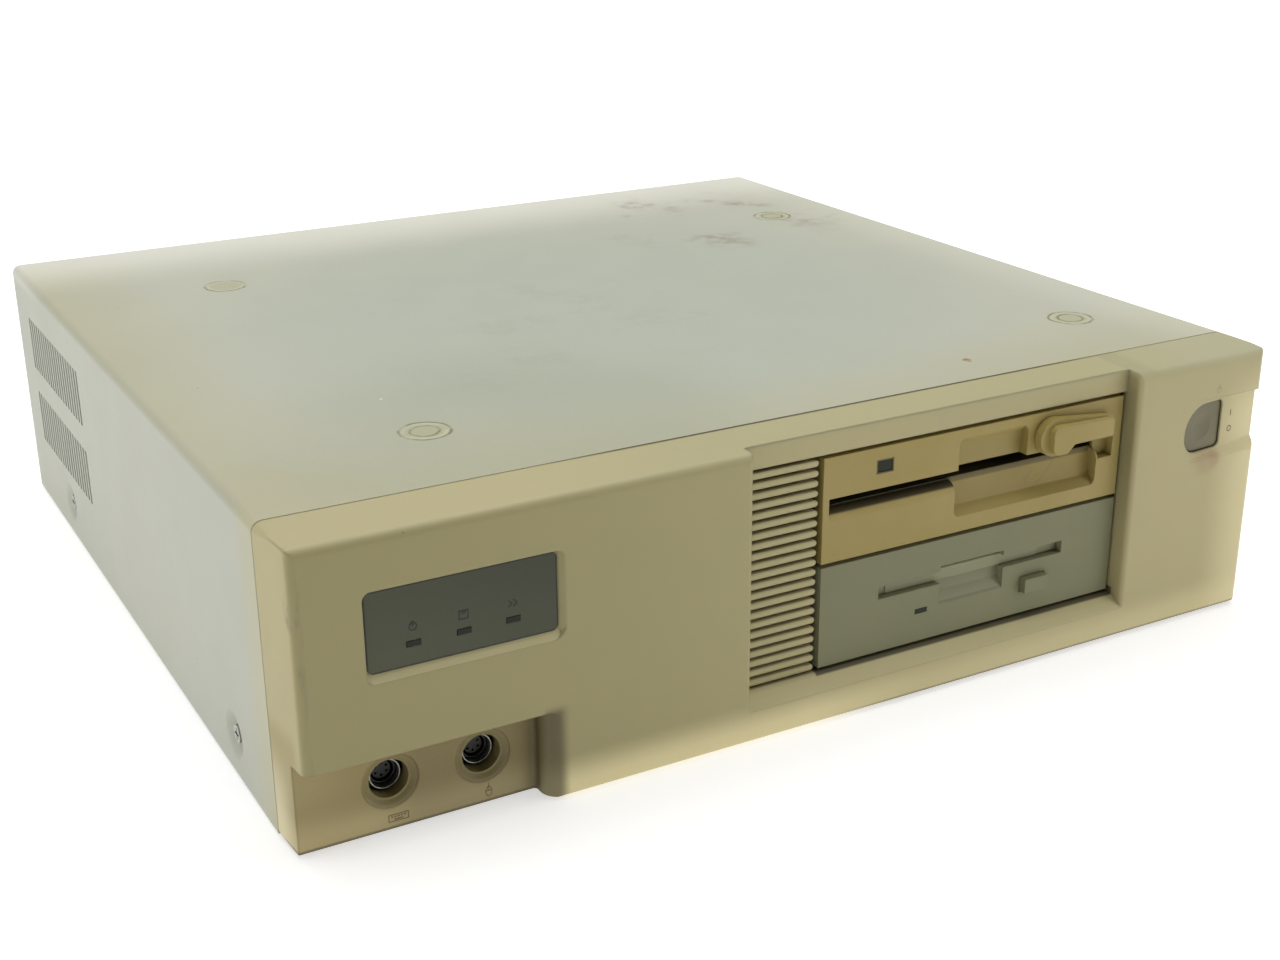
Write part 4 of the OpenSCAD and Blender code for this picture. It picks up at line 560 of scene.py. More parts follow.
def cover_paint():
    """Grey enamel with its stains, the rings of the monitor's feet, specks, and the seam darkened
    with dust and painted shade.
    """
    material, tree, shader, place = new_material("baked_grey_enamel")
    x, y, _ = axes(tree, place)
    colour = blend(tree, mottle(tree, place, 90), "#b3b5a7", "#babaa6")
    colour = cover_stains_and_light(tree, place, colour)
    # each foot has left a dark rim, a pale ring inside it and a yellowed middle
    wavy = ragged(tree, place, 8, 1.1)
    dark_ring = rings(tree, wavy, FOOT_MARKS, 9.6, 1.0)
    pale_ring = rings(tree, wavy, FOOT_MARKS, 8.2, 1.6)
    inner_ring = rings(tree, wavy, FOOT_MARKS[1:], 5.6, 0.9)
    patchy = fade(tree, mottle(tree, place, 6), 0.24, 0.54)
    colour = coats(tree, colour, [("#a8a67e", spot(tree, wavy, mark, 6.5, 4.5), 0.5)
                                  for mark in FOOT_MARKS])
    colour = coats(tree, colour, (
        ("#c6c4a6", both(tree, pale_ring, patchy), 0.6),
        ("#6b6742", both(tree, both(tree, dark_ring, inner_ring, "ADD"), patchy), 0.9),
        # one chip in the paint, dirt and dust, and dust and painted shade along the seam
        ("#d6d2b8", spot(tree, place, at(81.9, 95.7, TOP_MM), 0.5, 0.4), 1.0),
        ("#6f654c", specks(tree, place, 23, 0.55, 0.3), 0.75),
        ("#8d8672", specks(tree, place, 6, 0.32, 0.12), 0.5),
        ("#cfcebb", specks(tree, place, 1.3, 0.36, 0.4), 0.22),
        (SEAM_DUST_AND_SHADE, both(tree, seam_reach(tree, x), span(tree, y, SEAM, 1.1, 0.6)), 0.7),
    ))
    dull = add(tree, "MapRange", {"Value": mottle(tree, place, 25, 4), "To Min": 0.42,
                                  "To Max": 0.6})
    peel = both(tree, mottle(tree, place, 0.9, 2), both(tree, pale_ring, 0.6), "ADD")
    finish(tree, shader, colour, dull, peel, 0.022)
    return material


print("rings on the top:", len(FOOT_MARKS))

# %% [markdown]
# ## Moulded plastics
#
# The front, the two drive plates and the buttons are moulded ABS. The mould is etched by spark
# erosion, so the surface has a fine even grain and a dull sheen. Age turns ABS yellow, and not
# every part to the same degree: the flame retardant of the upper drive's plate went first.

# %% Moulded plastics


def moulded(name, young, aged, size_mm=60, tint=None, edge_mm=0.5, joined=None):
    """Aged ABS: two tones in soft blotches, spark-eroded grain, rubbed-in dirt and dark specks."""
    dirt, share = "#6d6148", 0.25
    material, tree, shader, place = new_material(name)
    colour = blend(tree, fade(tree, mottle(tree, place, size_mm, 4), 0.3, 0.7), young, aged)
    if tint:
        colour = tint(tree, place, colour)
    colour = coat(tree, colour, shade(young, 1.12), mottle(tree, place, 0.45, 1), 0.16)
    colour = coats(tree, colour, (
        (dirt, specks(tree, place, 17, 0.42, share), 0.7),
        (dirt, specks(tree, place, 5, 0.22, share / 2), 0.45),
    ))
    finish(tree, shader, colour, uneven_shine(tree, place, 18, 0.5, detail=4),
           mottle(tree, place, 0.35, 1), 0.012, specular=0.35, edge_mm=edge_mm,
           plain=joined(tree, place) if joined else None)
    return material


print("made", moulded.__name__)

# %% [markdown]
# ## Marks, painted light and shade on the plates and the button
#
# Each plastic part was used in its own way and stands in its own light, so each has a function that
# lays its marks, its painted light and its painted shade over the two tones. A slot or a gap is
# painted nearly black, because hardly any light comes back out of it, and whatever faces up gets a
# pale coat of painted light.

# %% Marks, painted light and shade on the plates and the button
SLOT_X, SLOT_Z = (211, 273), (80.2, 87.8)    # slot of the upper drive, left of its hollow


def painted_top_light(tree, colour, pale, most, above=None):
    """Painted light: a pale coat on whatever faces up, where the light of the tent hardly reaches.
    """
    _, _, rise = axes(tree, add(tree, "NewGeometry", {}, "Normal"))
    facing_up = fade(tree, rise, 0.12, 0.5)
    return coat(tree, colour, linear(pale), both(tree, facing_up, above) if above else facing_up, most)


def wide_plate_wear_light_and_shade(tree, place, colour):
    """A scratched arc and grime, painted shade behind the face, painted light on what faces up, and
    black painted shade in the slot and round the lamp.
    """
    x, y, z = axes(tree, place)
    arc = overlap(tree, rings(tree, place, [at(303, PLATES_MM, 95)], 26.5, 0.45),
                  span(tree, z, BASE, 84, 80), span(tree, x, LEFT, 312, 316))
    grime = both(tree, fade(tree, mottle(tree, place, 3, 3), 0.55, 0.7),
                 spot(tree, place, at(313, -17, 75), 2, 5))
    colour = coats(tree, colour, (
        ("#7d7048", arc, 0.6),
        ("#5d5236", grime, 0.4),
        # painted shade: darker behind the face of the plate, in its hollows and its slot
        ("#766733", span(tree, y, FRONT, 8.6, 11.5), 0.34),
    ))
    # painted light on what faces up
    colour = painted_top_light(tree, colour, "#bfa860", 0.25)
    # black painted shade in the slot and deeper in, and in the gap round the lamp
    slot_height = between(tree, z, BASE, *SLOT_Z, 1.0, 0.4)
    slot = overlap(tree, span(tree, y, FRONT, 8.1, 8.6), slot_height,
                   between(tree, x, LEFT, *SLOT_X, 1.5, 2))
    deep = both(tree, span(tree, y, FRONT, 12.2, 13.4), slot_height)
    lamp_gap = fade(tree, outside(tree, x, z, "wide_lamp"), 1.0 * MM, 0.7 * MM)
    return coats(tree, colour, (
        ("#24231b", lamp_gap, 0.85),
        ("#1d1b14", both(tree, slot, deep, "ADD"), 0.95),
    ))


def small_plate_painted_light(tree, place, colour):
    """Painted light: the flap in the slot, and whatever lies as deep behind the front, are made
    paler than the plate, and so is whatever faces up.
    """
    _, y, _ = axes(tree, place)
    # painted light on the flap, which stands in the shade of the slot, and on what faces up
    colour = coat(tree, colour, linear("#a3a286"), between(tree, y, FRONT, 8, 12, 0.4, 2), 0.5)
    return painted_top_light(tree, colour, "#8f8e74", 0.12)


def button_painted_shade(tree, place, colour):
    """Painted shade on the sides of the button, which stand in the dark of the gap."""
    _, facing, _ = axes(tree, add(tree, "NewGeometry", {}, "True Normal"))
    # painted shade on every face that does not face the front
    return coat(tree, colour, linear("#1f1d15"), fade(tree, facing, -0.6, -0.3), 0.9)


print("plastics with marks of their own:",
      [f.__name__ for f in (wide_plate_wear_light_and_shade, small_plate_painted_light, button_painted_shade)])

# %% [markdown]
# ## Age and painted light of the moulded front
#
# The front is the largest moulding and the one that sun, hands and furniture have reached. Its
# coats go from the large to the small, and the fading of the whole face comes first: greener to the
# left and yellow beside the cover, with painted light along the bottom and the right edge. Then
# come painted light on what faces up, painted shade on the cheek, the rubs and the grime.

# %% Sun, wear and painted light on the front


def sun_wear_light_and_shade(tree, place, blurred, colour):
    """Where the face has faded, yellowed and been rubbed, with painted light along the bottom, the
    right edge and what faces up, and painted shade on the cheek.
    """
    x, y, z = axes(tree, place)
    blurred_x, _, _ = axes(tree, blurred)
    strip = span(tree, z, TOP, -4, -1)
    # how strongly the painted light reaches along the bottom, less to the right
    bottom_light_reach = add(tree, "MapRange", {"Value": x, "From Min": LEFT + 200 * MM,
                                       "From Max": LEFT + 250 * MM, "To Min": 0.85, "To Max": 0.42})
    cheek = overlap(tree, between(tree, x, LEFT, 354, 369, 3, 6),
                    span(tree, y, FRONT, 0.4, 3), span(tree, z, BASE, 30, 85))
    rub = overlap(tree, span(tree, x, LEFT, 7, 3), span(tree, y, FRONT, 8, 2),
                  fade(tree, mottle(tree, stretched(tree, place, (1, 1, 0.25)), 5, 4), 0.52, 0.66))
    colour = coats(tree, colour, (
        # greener and darker to the left, and painted light, warmer and paler, along the bottom and
        # the right edge
        ("#928a5e", both(tree, span(tree, blurred_x, LEFT, 330, 20), span(tree, y, FRONT, 3, 1)),
         0.7),
        ("#f4e6b2", both(tree, span(tree, z, BASE, 17, 2), bottom_light_reach), 1.0),
        ("#ecdfb0", both(tree, span(tree, x, LEFT, 397, 427), span(tree, z, TOP, -3, -30)),
         0.62),
    ))
    # painted light on what faces up: the sill and the finger hollow
    colour = painted_top_light(tree, colour, "#e0d6a8", 0.5, span(tree, z, TOP, -12, -16))
    return coats(tree, colour, (
        # the cheek beside the drives stays in shade
        ("#6f6b4a", cheek, 0.55),
        # the top strip has taken the cover's yellow, greyer to the right
        ("#b3ab84", strip, 0.6),
        ("#b9b79f", both(tree, strip, span(tree, x, LEFT, 340, 420)), 0.6),
        ("#8f9270", both(tree, strip, span(tree, x, LEFT, 80, 170)), 0.22),
        # black rub on the left front edge, where it met other furniture
        ("#5f5c52", rub, 0.45),
        # brown grime where fingers press beside the power button
        ("#9c8163", spot(tree, blurred, at(396, -24, 73.5), 3, 9), 0.5),
        ("#a5855f", spot(tree, blurred, at(402, -26, 71.5), 1, 4), 0.5),
    ))


print("made", sun_wear_light_and_shade.__name__)

# %% [markdown]
# ## Recesses of the front
#
# A recess keeps out the light of the tent, so its shade is painted on. The socket recess is open
# below and to the left, so its floor is painted darker towards the side wall, the dish round each
# socket darker still, and its open left edge gets painted light.

# %% Recesses of the front


def recess_shade(tree, place, blurred, colour):
    """Painted shade in the drive recess, the socket recess and the two dishes, and painted light on
    the left edge of the socket recess.
    """
    x, y, z = axes(tree, place)
    _, _, blurred_z = axes(tree, blurred)
    bay = overlap(tree, span(tree, y, FRONT, 4, 9), span(tree, x, LEFT, 150, 130),
                  span(tree, z, BASE, 50, 40))
    side_wall = both(tree, between(tree, x, LEFT, 88.5, 99.5, 2, 5),
                     span(tree, z, BASE, 37.5, 33))
    colour = coats(tree, colour, (
        # painted shade low in the drive recess
        ("#8f845c", both(tree, span(tree, y, FRONT, 5.5, 7.4), span(tree, blurred_z, BASE, 24, 12)),
         0.35),
        # the socket recess is warmer than the front, and painted shade darkens it above its floor
        # and more towards its side wall
        ("#7a7048", overlap(tree, bay, span(tree, z, BASE, 4, 20), span(tree, x, LEFT, 0, 30)),
         0.5),
        ("#8f7028", bay, 0.34),
        ("#2f2b18", both(tree, bay, span(tree, x, LEFT, 26, 48)), 0.3),
        ("#2f2b18", both(tree, bay, span(tree, x, LEFT, 83, 93)), 0.6),
        # painted shade on the side wall of the socket recess
        ("#2f2408", side_wall, 0.72),
        # painted light on the left edge beside the socket recess
        ("#f4ecc6", both(tree, span(tree, x, LEFT, 1.6, 0.2), span(tree, z, BASE, 40, 12)), 0.5),
    ))
    front_view = stretched(tree, place, (1, 0, 1))
    for socket_x, socket_z in SOCKETS:
        # painted shade in the dish round each socket
        dish = spot(tree, front_view, at(socket_x, 0, socket_z) * Vector((1, 0, 1)), 9.3, 1.0)
        shaded = both(tree, dish, span(tree, y, FRONT, 10.3, 11))
        colour = coat(tree, colour, linear("#70663f"), shaded, 0.6)
    return colour, bay


print("made", recess_shade.__name__)

# %% [markdown]
# ## Gaps of the front
#
# The dark lines come last, all of them painted shade, and the seam holds dust as well: the seam,
# the space behind the bars, a painted shadow below the lower edge, the sill before the drives and
# the gap round the button. The depth of that gap is measured from the floor of the finger hollow,
# which leans back.

# %% Gaps of the front


def gap_lines(tree, place, bay, colour):
    """Painted shade in the dark lines: the seam, with its dust, between the bars, below the front,
    on the sill and round the button.
    """
    x, y, z = axes(tree, place)
    behind_bars = overlap(tree, span(tree, y, FRONT, 7.8, 11), span(tree, z, BASE, 107, 106),
                          between(tree, x, LEFT, BARS_X, DRIVES_X[1] + 1, 2))
    sill = overlap(tree, span(tree, y, FRONT, 5.6, 6.6), span(tree, z, BASE, 20, 19),
                   between(tree, x, LEFT, *DRIVES_X, 1))
    # depth behind the face, or behind the floor of the finger hollow, which leans back
    lean = add(tree, "Math", {0: off(tree, x, LEFT + HOLLOW_X * MM), 1: math.tan(HOLLOW_TURN)},
               operation="MULTIPLY")
    floor_y = larger(tree, add(tree, "Math", {0: lean, 1: FRONT}, operation="ADD"), FRONT)
    button_gap = both(tree, span(tree, off(tree, y, floor_y), 0, 0.35, 0.8),
                      span(tree, outside(tree, x, z, "power_button"), 0, 1.2, 0.8))
    return coats(tree, colour, (
        # painted shade in every line, with dust in the seam too; below the front it is a painted
        # shadow
        (SEAM_DUST_AND_SHADE, both(tree, seam_reach(tree, x), span(tree, y, SEAM, -1.0, -0.55)), 0.75),
        ("#3f3a28", behind_bars, 0.85),
        ("#5d5034", both(tree, span(tree, z, BASE, 1.6, 0.5), span(tree, x, LEFT, 205, 245)), 0.8),
        ("#4d432b", both(tree, span(tree, z, BASE, 1.5, 0.4), bay), 0.75),
        ("#2b281c", sill, 0.9),
        ("#3d3929", button_gap, 0.9),
    ))


print("made", gap_lines.__name__)

# %% [markdown]
# ## The finished front
#
# The coats of the front come together, and the printed sign above the button is the last of
# them. The corner round the socket recess is a piece of its own that meets the front flush, so
# a mask takes the edge radius away from that joint.

# %% The finished front
POWER_SIGN_X = 400.5


def front_wear_light_and_shade(tree, place, colour):
    """All the marks, painted light and painted shade of the moulded front, with the printed sign
    above the button as the last.
    """
    x, y, z = axes(tree, place)
    blurred = ragged(tree, place, 30, 6)
    colour = sun_wear_light_and_shade(tree, place, blurred, colour)
    colour, bay = recess_shade(tree, place, blurred, colour)
    colour = gap_lines(tree, place, bay, colour)
    sign = rings(tree, place, [at(POWER_SIGN_X, FRONT_MM, 100.9)], 1.15, 0.28)
    stem = both(tree, span(tree, apart(tree, x, LEFT + POWER_SIGN_X * MM), 0, 0.3, 0.15),
                span(tree, apart(tree, z, BASE + 102 * MM), 0, 1.1, 0.9))
    return coat(tree, colour, linear("#7b6f54"),
                both(tree, both(tree, sign, stem, "ADD"), span(tree, y, FRONT, 3, 1)), 0.6)


def corner_joint(tree, place):
    """1 along the flush joint of the socket recess's corner, which has no radius of its own."""
    x, y, z = axes(tree, place)
    corner = at(97, -13.5, 41.5)
    far = larger(tree, off(tree, x, corner.x), off(tree, z, corner.z))
    far = larger(tree, far, off(tree, y, corner.y))
    return fade(tree, add(tree, "Math", {0: far}, operation="ABSOLUTE"), 1.8 * MM, 1.2 * MM)


print("groups of coats on the front:",
      [f.__name__ for f in (sun_wear_light_and_shade, recess_shade, gap_lines)])

# %% [markdown]
# ## Metals
#
# Inside, galvanised sheet shows its zinc crystals and castings are grainy. The crystals are
# Voronoi cells whose random shade changes both the colour and the shine.

# %% Metals


def metal(name, dark, light, roughness, crystal_mm=6.0, stretch=(1, 1, 1), metallic=0.85):
    """Bare or plated metal with crystals or drawn lines, and duller patches."""
    material, tree, shader, place = new_material(name)
    drawn = stretched(tree, place, stretch)
    cell = add(tree, "TexVoronoi", {"Vector": drawn, "Scale": per_metre(crystal_mm)}, "Color")
    tone, _, _ = axes(tree, cell)
    tone = both(tree, both(tree, tone, 0.55), both(tree, mottle(tree, place, 35), 0.45), "ADD")
    colour = blend(tree, tone, dark, light)
    colour = coat(tree, colour, linear("#5b4a38"), specks(tree, place, 14, 0.5, 0.08), 0.5)
    dull = add(tree, "MapRange", {"Value": tone, "To Min": roughness - 0.1,
                                  "To Max": roughness + 0.15})
    finish(tree, shader, colour, dull, mottle(tree, drawn, 0.8, 2), 0.01, metallic)
    return material


print("made", metal.__name__)

# %% [markdown]
# ## Circuit boards
#
# A board carries copper lines under green lacquer, and tinned pads at the pitch of its chips.
# The lines are stripes, and a second pattern turns them from block to block.

# %% Circuit boards
PIN_PITCH_MM = 2.54


def circuit_board():
    """Green lacquer over copper lines, tinned pads, and tinned shells at the rear panel."""
    material, tree, shader, place = new_material("lacquered_circuit_board")
    x, y, _ = axes(tree, place)
    colour = blend(tree, mottle(tree, place, 30), "#17402a", "#245537")
    # copper lines: stripes whose direction changes from block to block
    block = add(tree, "TexVoronoi", {"Vector": place, "Scale": per_metre(16)}, "Color",
                distance="CHEBYCHEV")
    luck, _, _ = axes(tree, block)
    turn = add(tree, "Math", {0: luck, 1: 0.5}, operation="GREATER_THAN")
    across = add(tree, "Mix", {"Factor": turn, "A": x, "B": y})
    stripe = add(tree, "Math", {0: across, 1: PIN_PITCH_MM / 2 * MM}, operation="PINGPONG")
    line = both(tree, span(tree, stripe, 0, 0.9, 1.05),
                fade(tree, mottle(tree, place, 9, 1), 0.42, 0.48))
    pads = specks(tree, place, PIN_PITCH_MM, 0.55, 0.35)
    # the cards' sockets reach out through the rear panel, and have tinned shells
    shell = span(tree, y, SEAM, 371.5, 372)
    colour = coats(tree, colour, (
        ("#3d7a4c", line, 0.7),
        ("#b9bab2", pads, 0.8),
        ("#8f908a", shell, 1.0),
    ))
    relief = both(tree, both(tree, line, pads, "ADD"), off(tree, 1.0, shell))
    finish(tree, shader, colour, 0.38, relief, 0.03)
    tree.links.new(both(tree, shell, 0.8), shader.inputs["Metallic"])
    return material


print("pads stand", PIN_PITCH_MM, "mm apart")

# %% [markdown]
# ## Plain plastics, film and cable
#
# Small moulded and rubber parts share one finish with their own colour and grain. The film of
# the name panel is printed on its back, so only its cut edge is dark. The ribbon cable gets a
# round back for each wire from a wave across its width.

# %% Plain plastics, film and cable
WIRE_PITCH_MM = 1.27


def cast_plastic(name, colour, roughness, grain_mm=0.5, spread=0.18, depth_mm=0.012, specular=0.5):
    """A plain moulded or rubber part: an even grain, handling shine and a little dust."""
    material, tree, shader, place = new_material(name)
    tone = add(tree, "Mix", {"Factor": mottle(tree, place, 14, 4), "A": shade(colour, 1 - spread),
                             "B": shade(colour, 1 + spread)}, data_type="RGBA")
    dust = fade(tree, mottle(tree, place, 1.2, 3), 0.62, 0.8)
    tone = coat(tree, tone, linear("#8c8672"), dust, 0.16)
    finish(tree, shader, tone, uneven_shine(tree, place, 9, roughness),
           mottle(tree, place, grain_mm, 1), depth_mm, specular=specular)
    return material


def printed_film():
    """Polyester film printed grey on its back: satin, darker to the upper right."""
    material, tree, shader, place = new_material("printed_polyester_film")
    x, _, z = axes(tree, place)
    slope = both(tree, both(tree, span(tree, x, LEFT, 24, 98), 0.5),
                 both(tree, span(tree, z, BASE, 62, 96), 0.5), "ADD")
    cut_edge = span(tree, outside(tree, x, z, "name_panel"), 0, -0.75, -0.35)
    colour = coats(tree, blend(tree, slope, "#474a34", "#343827"), (
        ("#61644b", mottle(tree, place, 0.3, 1), 0.22),
        ("#a09a80", specks(tree, place, 7, 0.2, 0.3), 0.5),
        ("#1c1e17", cut_edge, 0.85),
    ))
    finish(tree, shader, colour, 0.36, mottle(tree, place, 0.5, 1), 0.006, specular=0.35)
    return material


def flat_cable():
    """Grey ribbon cable with a round back for each wire, painted lighter on the crests and darker
    in the grooves between them.
    """
    material, tree, shader, place = new_material("ribbon_cable_pvc")
    x, _, _ = axes(tree, place)
    wire = add(tree, "Math", {0: x, 1: WIRE_PITCH_MM / 2 * MM}, operation="PINGPONG")
    ridge = span(tree, wire, 0, 0, 0.5)
    # painted light on the crest of each wire and painted shade in the grooves between them
    finish(tree, shader, blend(tree, ridge, "#60656a", "#8a9095"), 0.45, ridge, 0.2)
    return material


print("wires lie", WIRE_PITCH_MM, "mm apart")

# %% [markdown]
# ## Paper and cloth of the tent
#
# The floor is lit from below, a little under the computer and more towards the walls, so the
# shadow of the case stays soft and the far floor is pure white. The wall only glows.

# %% Paper and cloth of the tent


def tent_cloth():
    """The tent's wall: white cloth with the lamps behind it, so it glows evenly."""
    material, tree, shader, _ = new_material("tent_cloth")
    finish(tree, shader, linear("#000000"), 1.0, specular=0)
    shader.inputs["Emission Color"].default_value = (1, 1, 1, 1)
    shader.inputs["Emission Strength"].default_value = 1.0
    return material


def white_paper():
    """The floor of the tent: white paper, lit from below, and more so towards the walls."""
    material, tree, shader, place = new_material("white_paper")
    away = add(tree, "VectorMath", {0: place}, "Value", operation="LENGTH")
    glow = add(tree, "MapRange", {"Value": away, "From Min": 0.6, "From Max": 2.5,
                                  "To Min": 0.56, "To Max": 0.95})
    fibre = blend(tree, mottle(tree, place, 4), "#d0d0cf", "#d6d6d5")
    finish(tree, shader, fibre, 0.9, mottle(tree, place, 1.5), 0.02)
    shader.inputs["Emission Color"].default_value = (1, 1, 1, 1)
    tree.links.new(glow, shader.inputs["Emission Strength"])
    return material


floor.data.materials.append(white_paper())
wall.data.materials.append(tent_cloth())
print("tent:", floor.data.materials[0].name, "and", wall.data.materials[0].name)

# %% [markdown]
# ## One finish for each slot
#
# The record gives every node a material slot. A table holds the finish of each slot, and a loop
# lays it on, so a new node gets its looks from its slot alone.

# %% One finish for each slot
FINISHES = {
    "cover_paint": cover_paint(),
    "bezel_abs": moulded("moulded_abs_beige", "#aea57b", "#b3a87c", tint=front_wear_light_and_shade,
                         edge_mm=1.6, joined=corner_joint),
    "wide_plate_abs": moulded("moulded_abs_yellowed", "#9b8a4d", "#a2915a", 45,
                              tint=wide_plate_wear_light_and_shade),
    "small_plate_abs": moulded("moulded_abs_grey", "#7a795b", "#807e5e", 40,
                               tint=small_plate_painted_light),
    "button_grey": moulded("moulded_abs_button", "#6c684f", "#767055", 12, tint=button_painted_shade),
    "panel_film": printed_film(),
    "lamp_lens": cast_plastic("tinted_acrylic_lens", "#1c2413", 0.3, 2, 0.1, 0.002, 0.22),
    "galvanised_sheet": metal("galvanised_steel", "#7d8280", "#a2a6a2", 0.42),
    "plated_steel": metal("nickel_plated_steel", "#9b9b96", "#b9b8b0", 0.3, 3, (1, 1, 0.2), 0.95),
    "cast_frame": metal("die_cast_aluminium", "#7c7f7d", "#989b98", 0.5, 1.1),
    "circuit_board": circuit_board(),
    "black_nylon": cast_plastic("black_nylon", "#1b1b1b", 0.42),
    "chip_epoxy": cast_plastic("chip_epoxy", "#1d1d1c", 0.6, 0.2),
    "disk_casting": cast_plastic("painted_casting", "#2c2f31", 0.5, 0.8, 0.15, 0.03),
    "foot_rubber": cast_plastic("foot_rubber", "#2c2b28", 0.8, 0.6),
    "battery_sleeve": cast_plastic("shrink_sleeve", "#26345e", 0.3, 3, 0.1),
    "ribbon_pvc": flat_cable(),
}
slot_of = {part["node"]: part["material_slot"] for part in frame["record"]["subparts"]}
for name, node in frame["nodes"].items():
    node.data.materials.clear()
    node.data.materials.append(FINISHES[slot_of[name]])
print("finishes:", len(FINISHES))

# %% [markdown]
# ## Marks on the front
#
# Small signs tell the user what each lamp and socket is for. Silk-screened ink stands up a few
# hundredths of a millimetre. Each sign is a few flat bars and hoops, so it is modelled, not
# painted, and stays sharp at any distance. A hoop is a small square spun round an axis; a bar
# is a cube that is scaled, turned and moved.

# %% Bars and hoops
INK_MM = 0.06
OVER_MM = 0.01              # how far a stroke stands before the one that it crosses


def bar(shape, x, z, width, height, face, turn=0):
    """A flat bar on a surface that faces the front, in the case's millimetres."""
    made = bmesh.ops.create_cube(shape, size=1)["verts"]
    bmesh.ops.scale(shape, vec=(width * MM, 2 * INK_MM * MM, height * MM), verts=made)
    bmesh.ops.rotate(shape, cent=(0, 0, 0), matrix=Matrix.Rotation(math.radians(turn), 3, "Y"),
                     verts=made)
    bmesh.ops.translate(shape, vec=at(x, face, z), verts=made)


def bars(shape, x, z, face, table):
    """Several bars, each with its distance right and up from one place, its width and height."""
    for across, rise, width, height in table:
        bar(shape, x + across, z + rise, width, height, face)


def hoop(shape, x, z, radius, width, face, near=INK_MM, far=INK_MM, steps=48):
    """A flat ring or a short tube round a line to the back, from face - near to face + far."""
    section = bmesh.ops.create_circle(shape, cap_ends=False, segments=4,
                                      radius=2 ** -0.5)["verts"]
    bmesh.ops.rotate(shape, cent=(0, 0, 0), matrix=Matrix.Rotation(math.radians(45), 3, "Z"),
                     verts=section)
    bmesh.ops.scale(shape, vec=(width * MM, (near + far) * MM, 1), verts=section)
    bmesh.ops.translate(shape, vec=at(x + radius, face + (far - near) / 2, z), verts=section)
    edges = {edge for vert in section for edge in vert.link_edges}
    bmesh.ops.spin(shape, geom=section + list(edges), cent=at(x, face, z), axis=(0, 1, 0),
                   angle=math.tau, steps=steps, use_merge=True)


def piece(name, shape, material, body="case"):
    """Turns a shape into an object that rides on a body of the frame."""
    bmesh.ops.recalc_face_normals(shape, faces=shape.faces)
    made = from_shape(name, shape)
    made.data.materials.append(material)
    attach(made, body)
    return made


print("ink stands", INK_MM, "mm before the surface")

# %% [markdown]
# ## Signs over the lamps
#
# From the left: power, a ring broken by a stroke; disk, a diskette with its shutter; and
# speed, two arrowheads. The gap in the ring is a bar as wide as the stroke needs.

# %% Signs over the lamps
LAMPS_X = (43.25, 61.25, 79.25)
SIGN_Z = 79.0
PANEL_MM = face_mm("name_panel")
DISKETTE = ((-1.6, 0, 0.4, 3.4), (1.6, 0, 0.4, 3.4), (0, -1.5, 3.0, 0.4), (0, 1.5, 3.0, 0.4),
            (0, 0.8, 1.6, 0.9))
ARROWS_X = (-1.0, 0.9)
ARROW_ARM = (0.45, 2.0)
dark_ink = cast_plastic("screen_ink_dark", "#262a25", 0.55, 0.5, 0.12, 0.003)

signs = bmesh.new()
power_x, disk_x, speed_x = LAMPS_X
hoop(signs, power_x, SIGN_Z, 1.35, 0.42, PANEL_MM)
bar(signs, power_x, SIGN_Z + 1.2, 1.15, 1.2, PANEL_MM + 2 * OVER_MM)
bar(signs, power_x, SIGN_Z + 1.1, 0.42, 1.9, PANEL_MM - OVER_MM)
bars(signs, disk_x, SIGN_Z, PANEL_MM, DISKETTE)
for across in ARROWS_X:
    bar(signs, speed_x + across, SIGN_Z + 0.62, *ARROW_ARM, PANEL_MM, -45)
    bar(signs, speed_x + across, SIGN_Z - 0.62, *ARROW_ARM, PANEL_MM - OVER_MM, 45)
lamp_signs = piece("lamp_signs", signs, dark_ink)
print("lamp signs:", len(lamp_signs.data.polygons), "faces")

# %% [markdown]
# ## Signs by the sockets and the button
#
# A keyboard and a mouse stand below their sockets. The mouse is a ring that is stretched to an
# oval, with the line below its two keys, the line between them, and its lead. I and O stand
# beside the button, on the floor of the finger hollow, so they lean back with it.

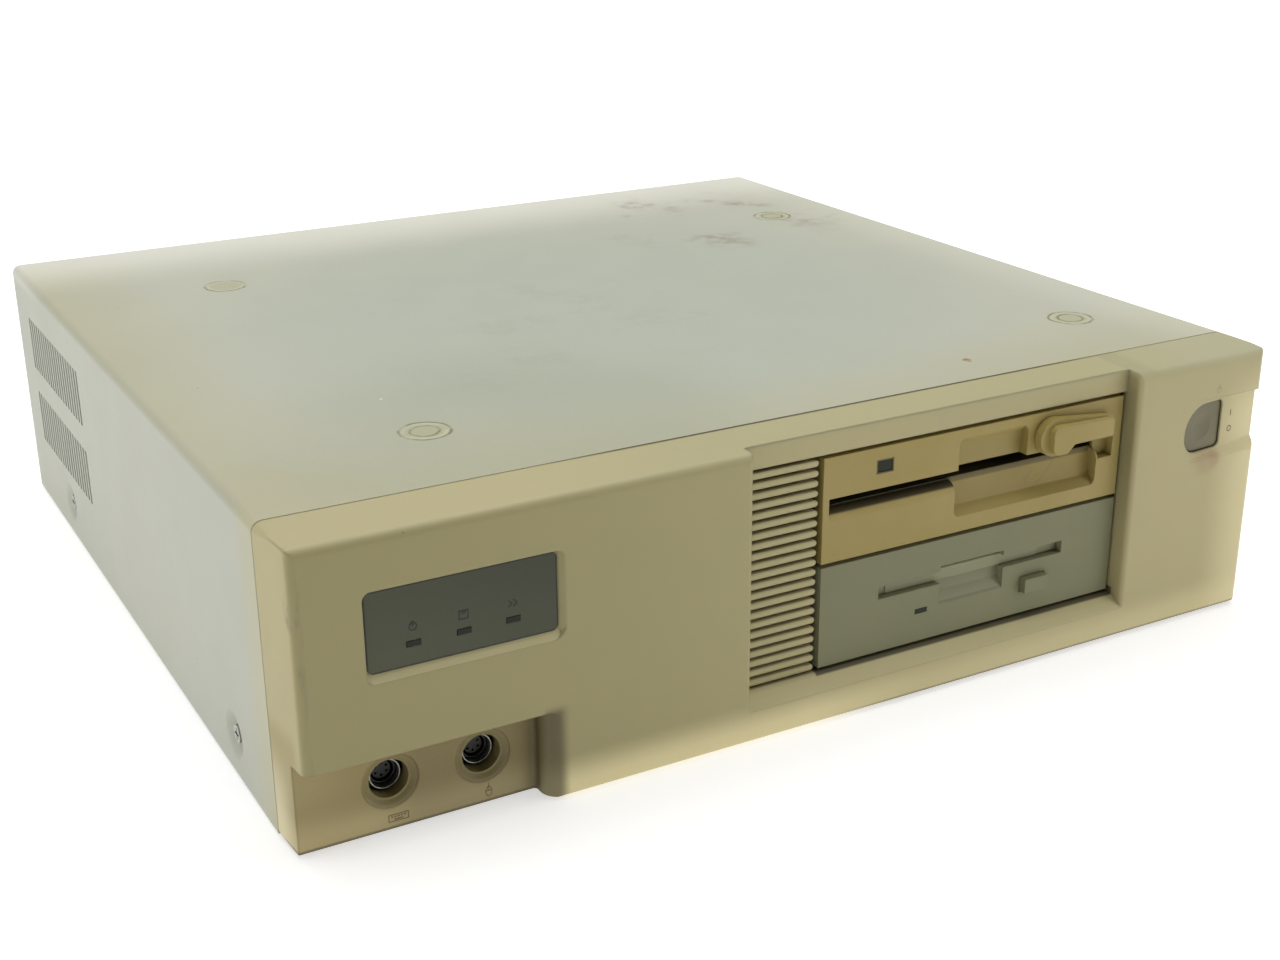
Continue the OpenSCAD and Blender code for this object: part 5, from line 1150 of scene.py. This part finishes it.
# %% Signs by the sockets and the button
KEYBOARD_X, KEYBOARD_Z = 37.6, 4.1
KEYBOARD = ((-3.6, 0, 0.3, 2.6), (3.6, 0, 0.3, 2.6), (0, -1.3, 7.5, 0.3), (0, 1.3, 7.5, 0.3),
            (0, -0.6, 3.2, 0.45), (-2.4, 0.45, 0.7, 0.6), (-1.2, 0.45, 0.7, 0.6),
            (0, 0.45, 0.7, 0.6), (1.2, 0.45, 0.7, 0.6), (2.4, 0.45, 0.7, 0.6))
MOUSE_X, MOUSE_Z = 71.6, 4.0
MOUSE_STRETCH = 1.5
ON_OFF_X = 411.5
brown_ink = cast_plastic("screen_ink_brown", "#7d6b45", 0.6, 0.5, 0.15, 0.003)

signs = bmesh.new()
bars(signs, KEYBOARD_X, KEYBOARD_Z, RECESS_MM, KEYBOARD)
keyboard = set(signs.verts)
hoop(signs, MOUSE_X, MOUSE_Z, 1.2, 0.3, RECESS_MM)
oval = [vert for vert in signs.verts if vert not in keyboard]
bmesh.ops.scale(signs, vec=(1, 1, MOUSE_STRETCH), verts=oval,
                space=Matrix.Translation(-at(MOUSE_X, RECESS_MM, MOUSE_Z)))
bar(signs, MOUSE_X, MOUSE_Z + 0.3, 2.2, 0.28, RECESS_MM - OVER_MM)
bar(signs, MOUSE_X, MOUSE_Z + 1.1, 0.28, 1.5, RECESS_MM - 2 * OVER_MM)
bar(signs, MOUSE_X, MOUSE_Z + 2.6, 0.3, 1.5, RECESS_MM)
socket_signs = piece("socket_signs", signs, brown_ink)

signs = bmesh.new()
bar(signs, ON_OFF_X, 88.5, 0.5, 2.6, FRONT_MM)
hoop(signs, ON_OFF_X, 81.5, 1.15, 0.45, FRONT_MM)
bmesh.ops.rotate(signs, cent=at(HOLLOW_X, FRONT_MM, 0), verts=signs.verts,
                 matrix=Matrix.Rotation(HOLLOW_TURN, 3, "Z"))
button_signs = piece("button_signs", signs, brown_ink)
print("signs:", [o.name for o in (lamp_signs, socket_signs, button_signs)])

# %% [markdown]
# ## Shells of the round sockets
#
# Each round socket has a thin steel shell round its black block. All that shows from outside is
# its bright rim, deep in the hole, so a short tube is enough.

# %% Socket shells
SHELL_RADIUS, SHELL_WALL, SHELL_BACK = 5.5, 0.4, -6.4

shells = bmesh.new()
for socket_x, socket_z in SOCKETS:
    hoop(shells, socket_x, socket_z, SHELL_RADIUS, SHELL_WALL, SHELL_BACK, near=4.2, far=0.2,
         steps=64)
socket_shells = piece("socket_shells", shells, FINISHES["plated_steel"])
print("socket shells:", len(socket_shells.data.polygons), "faces")
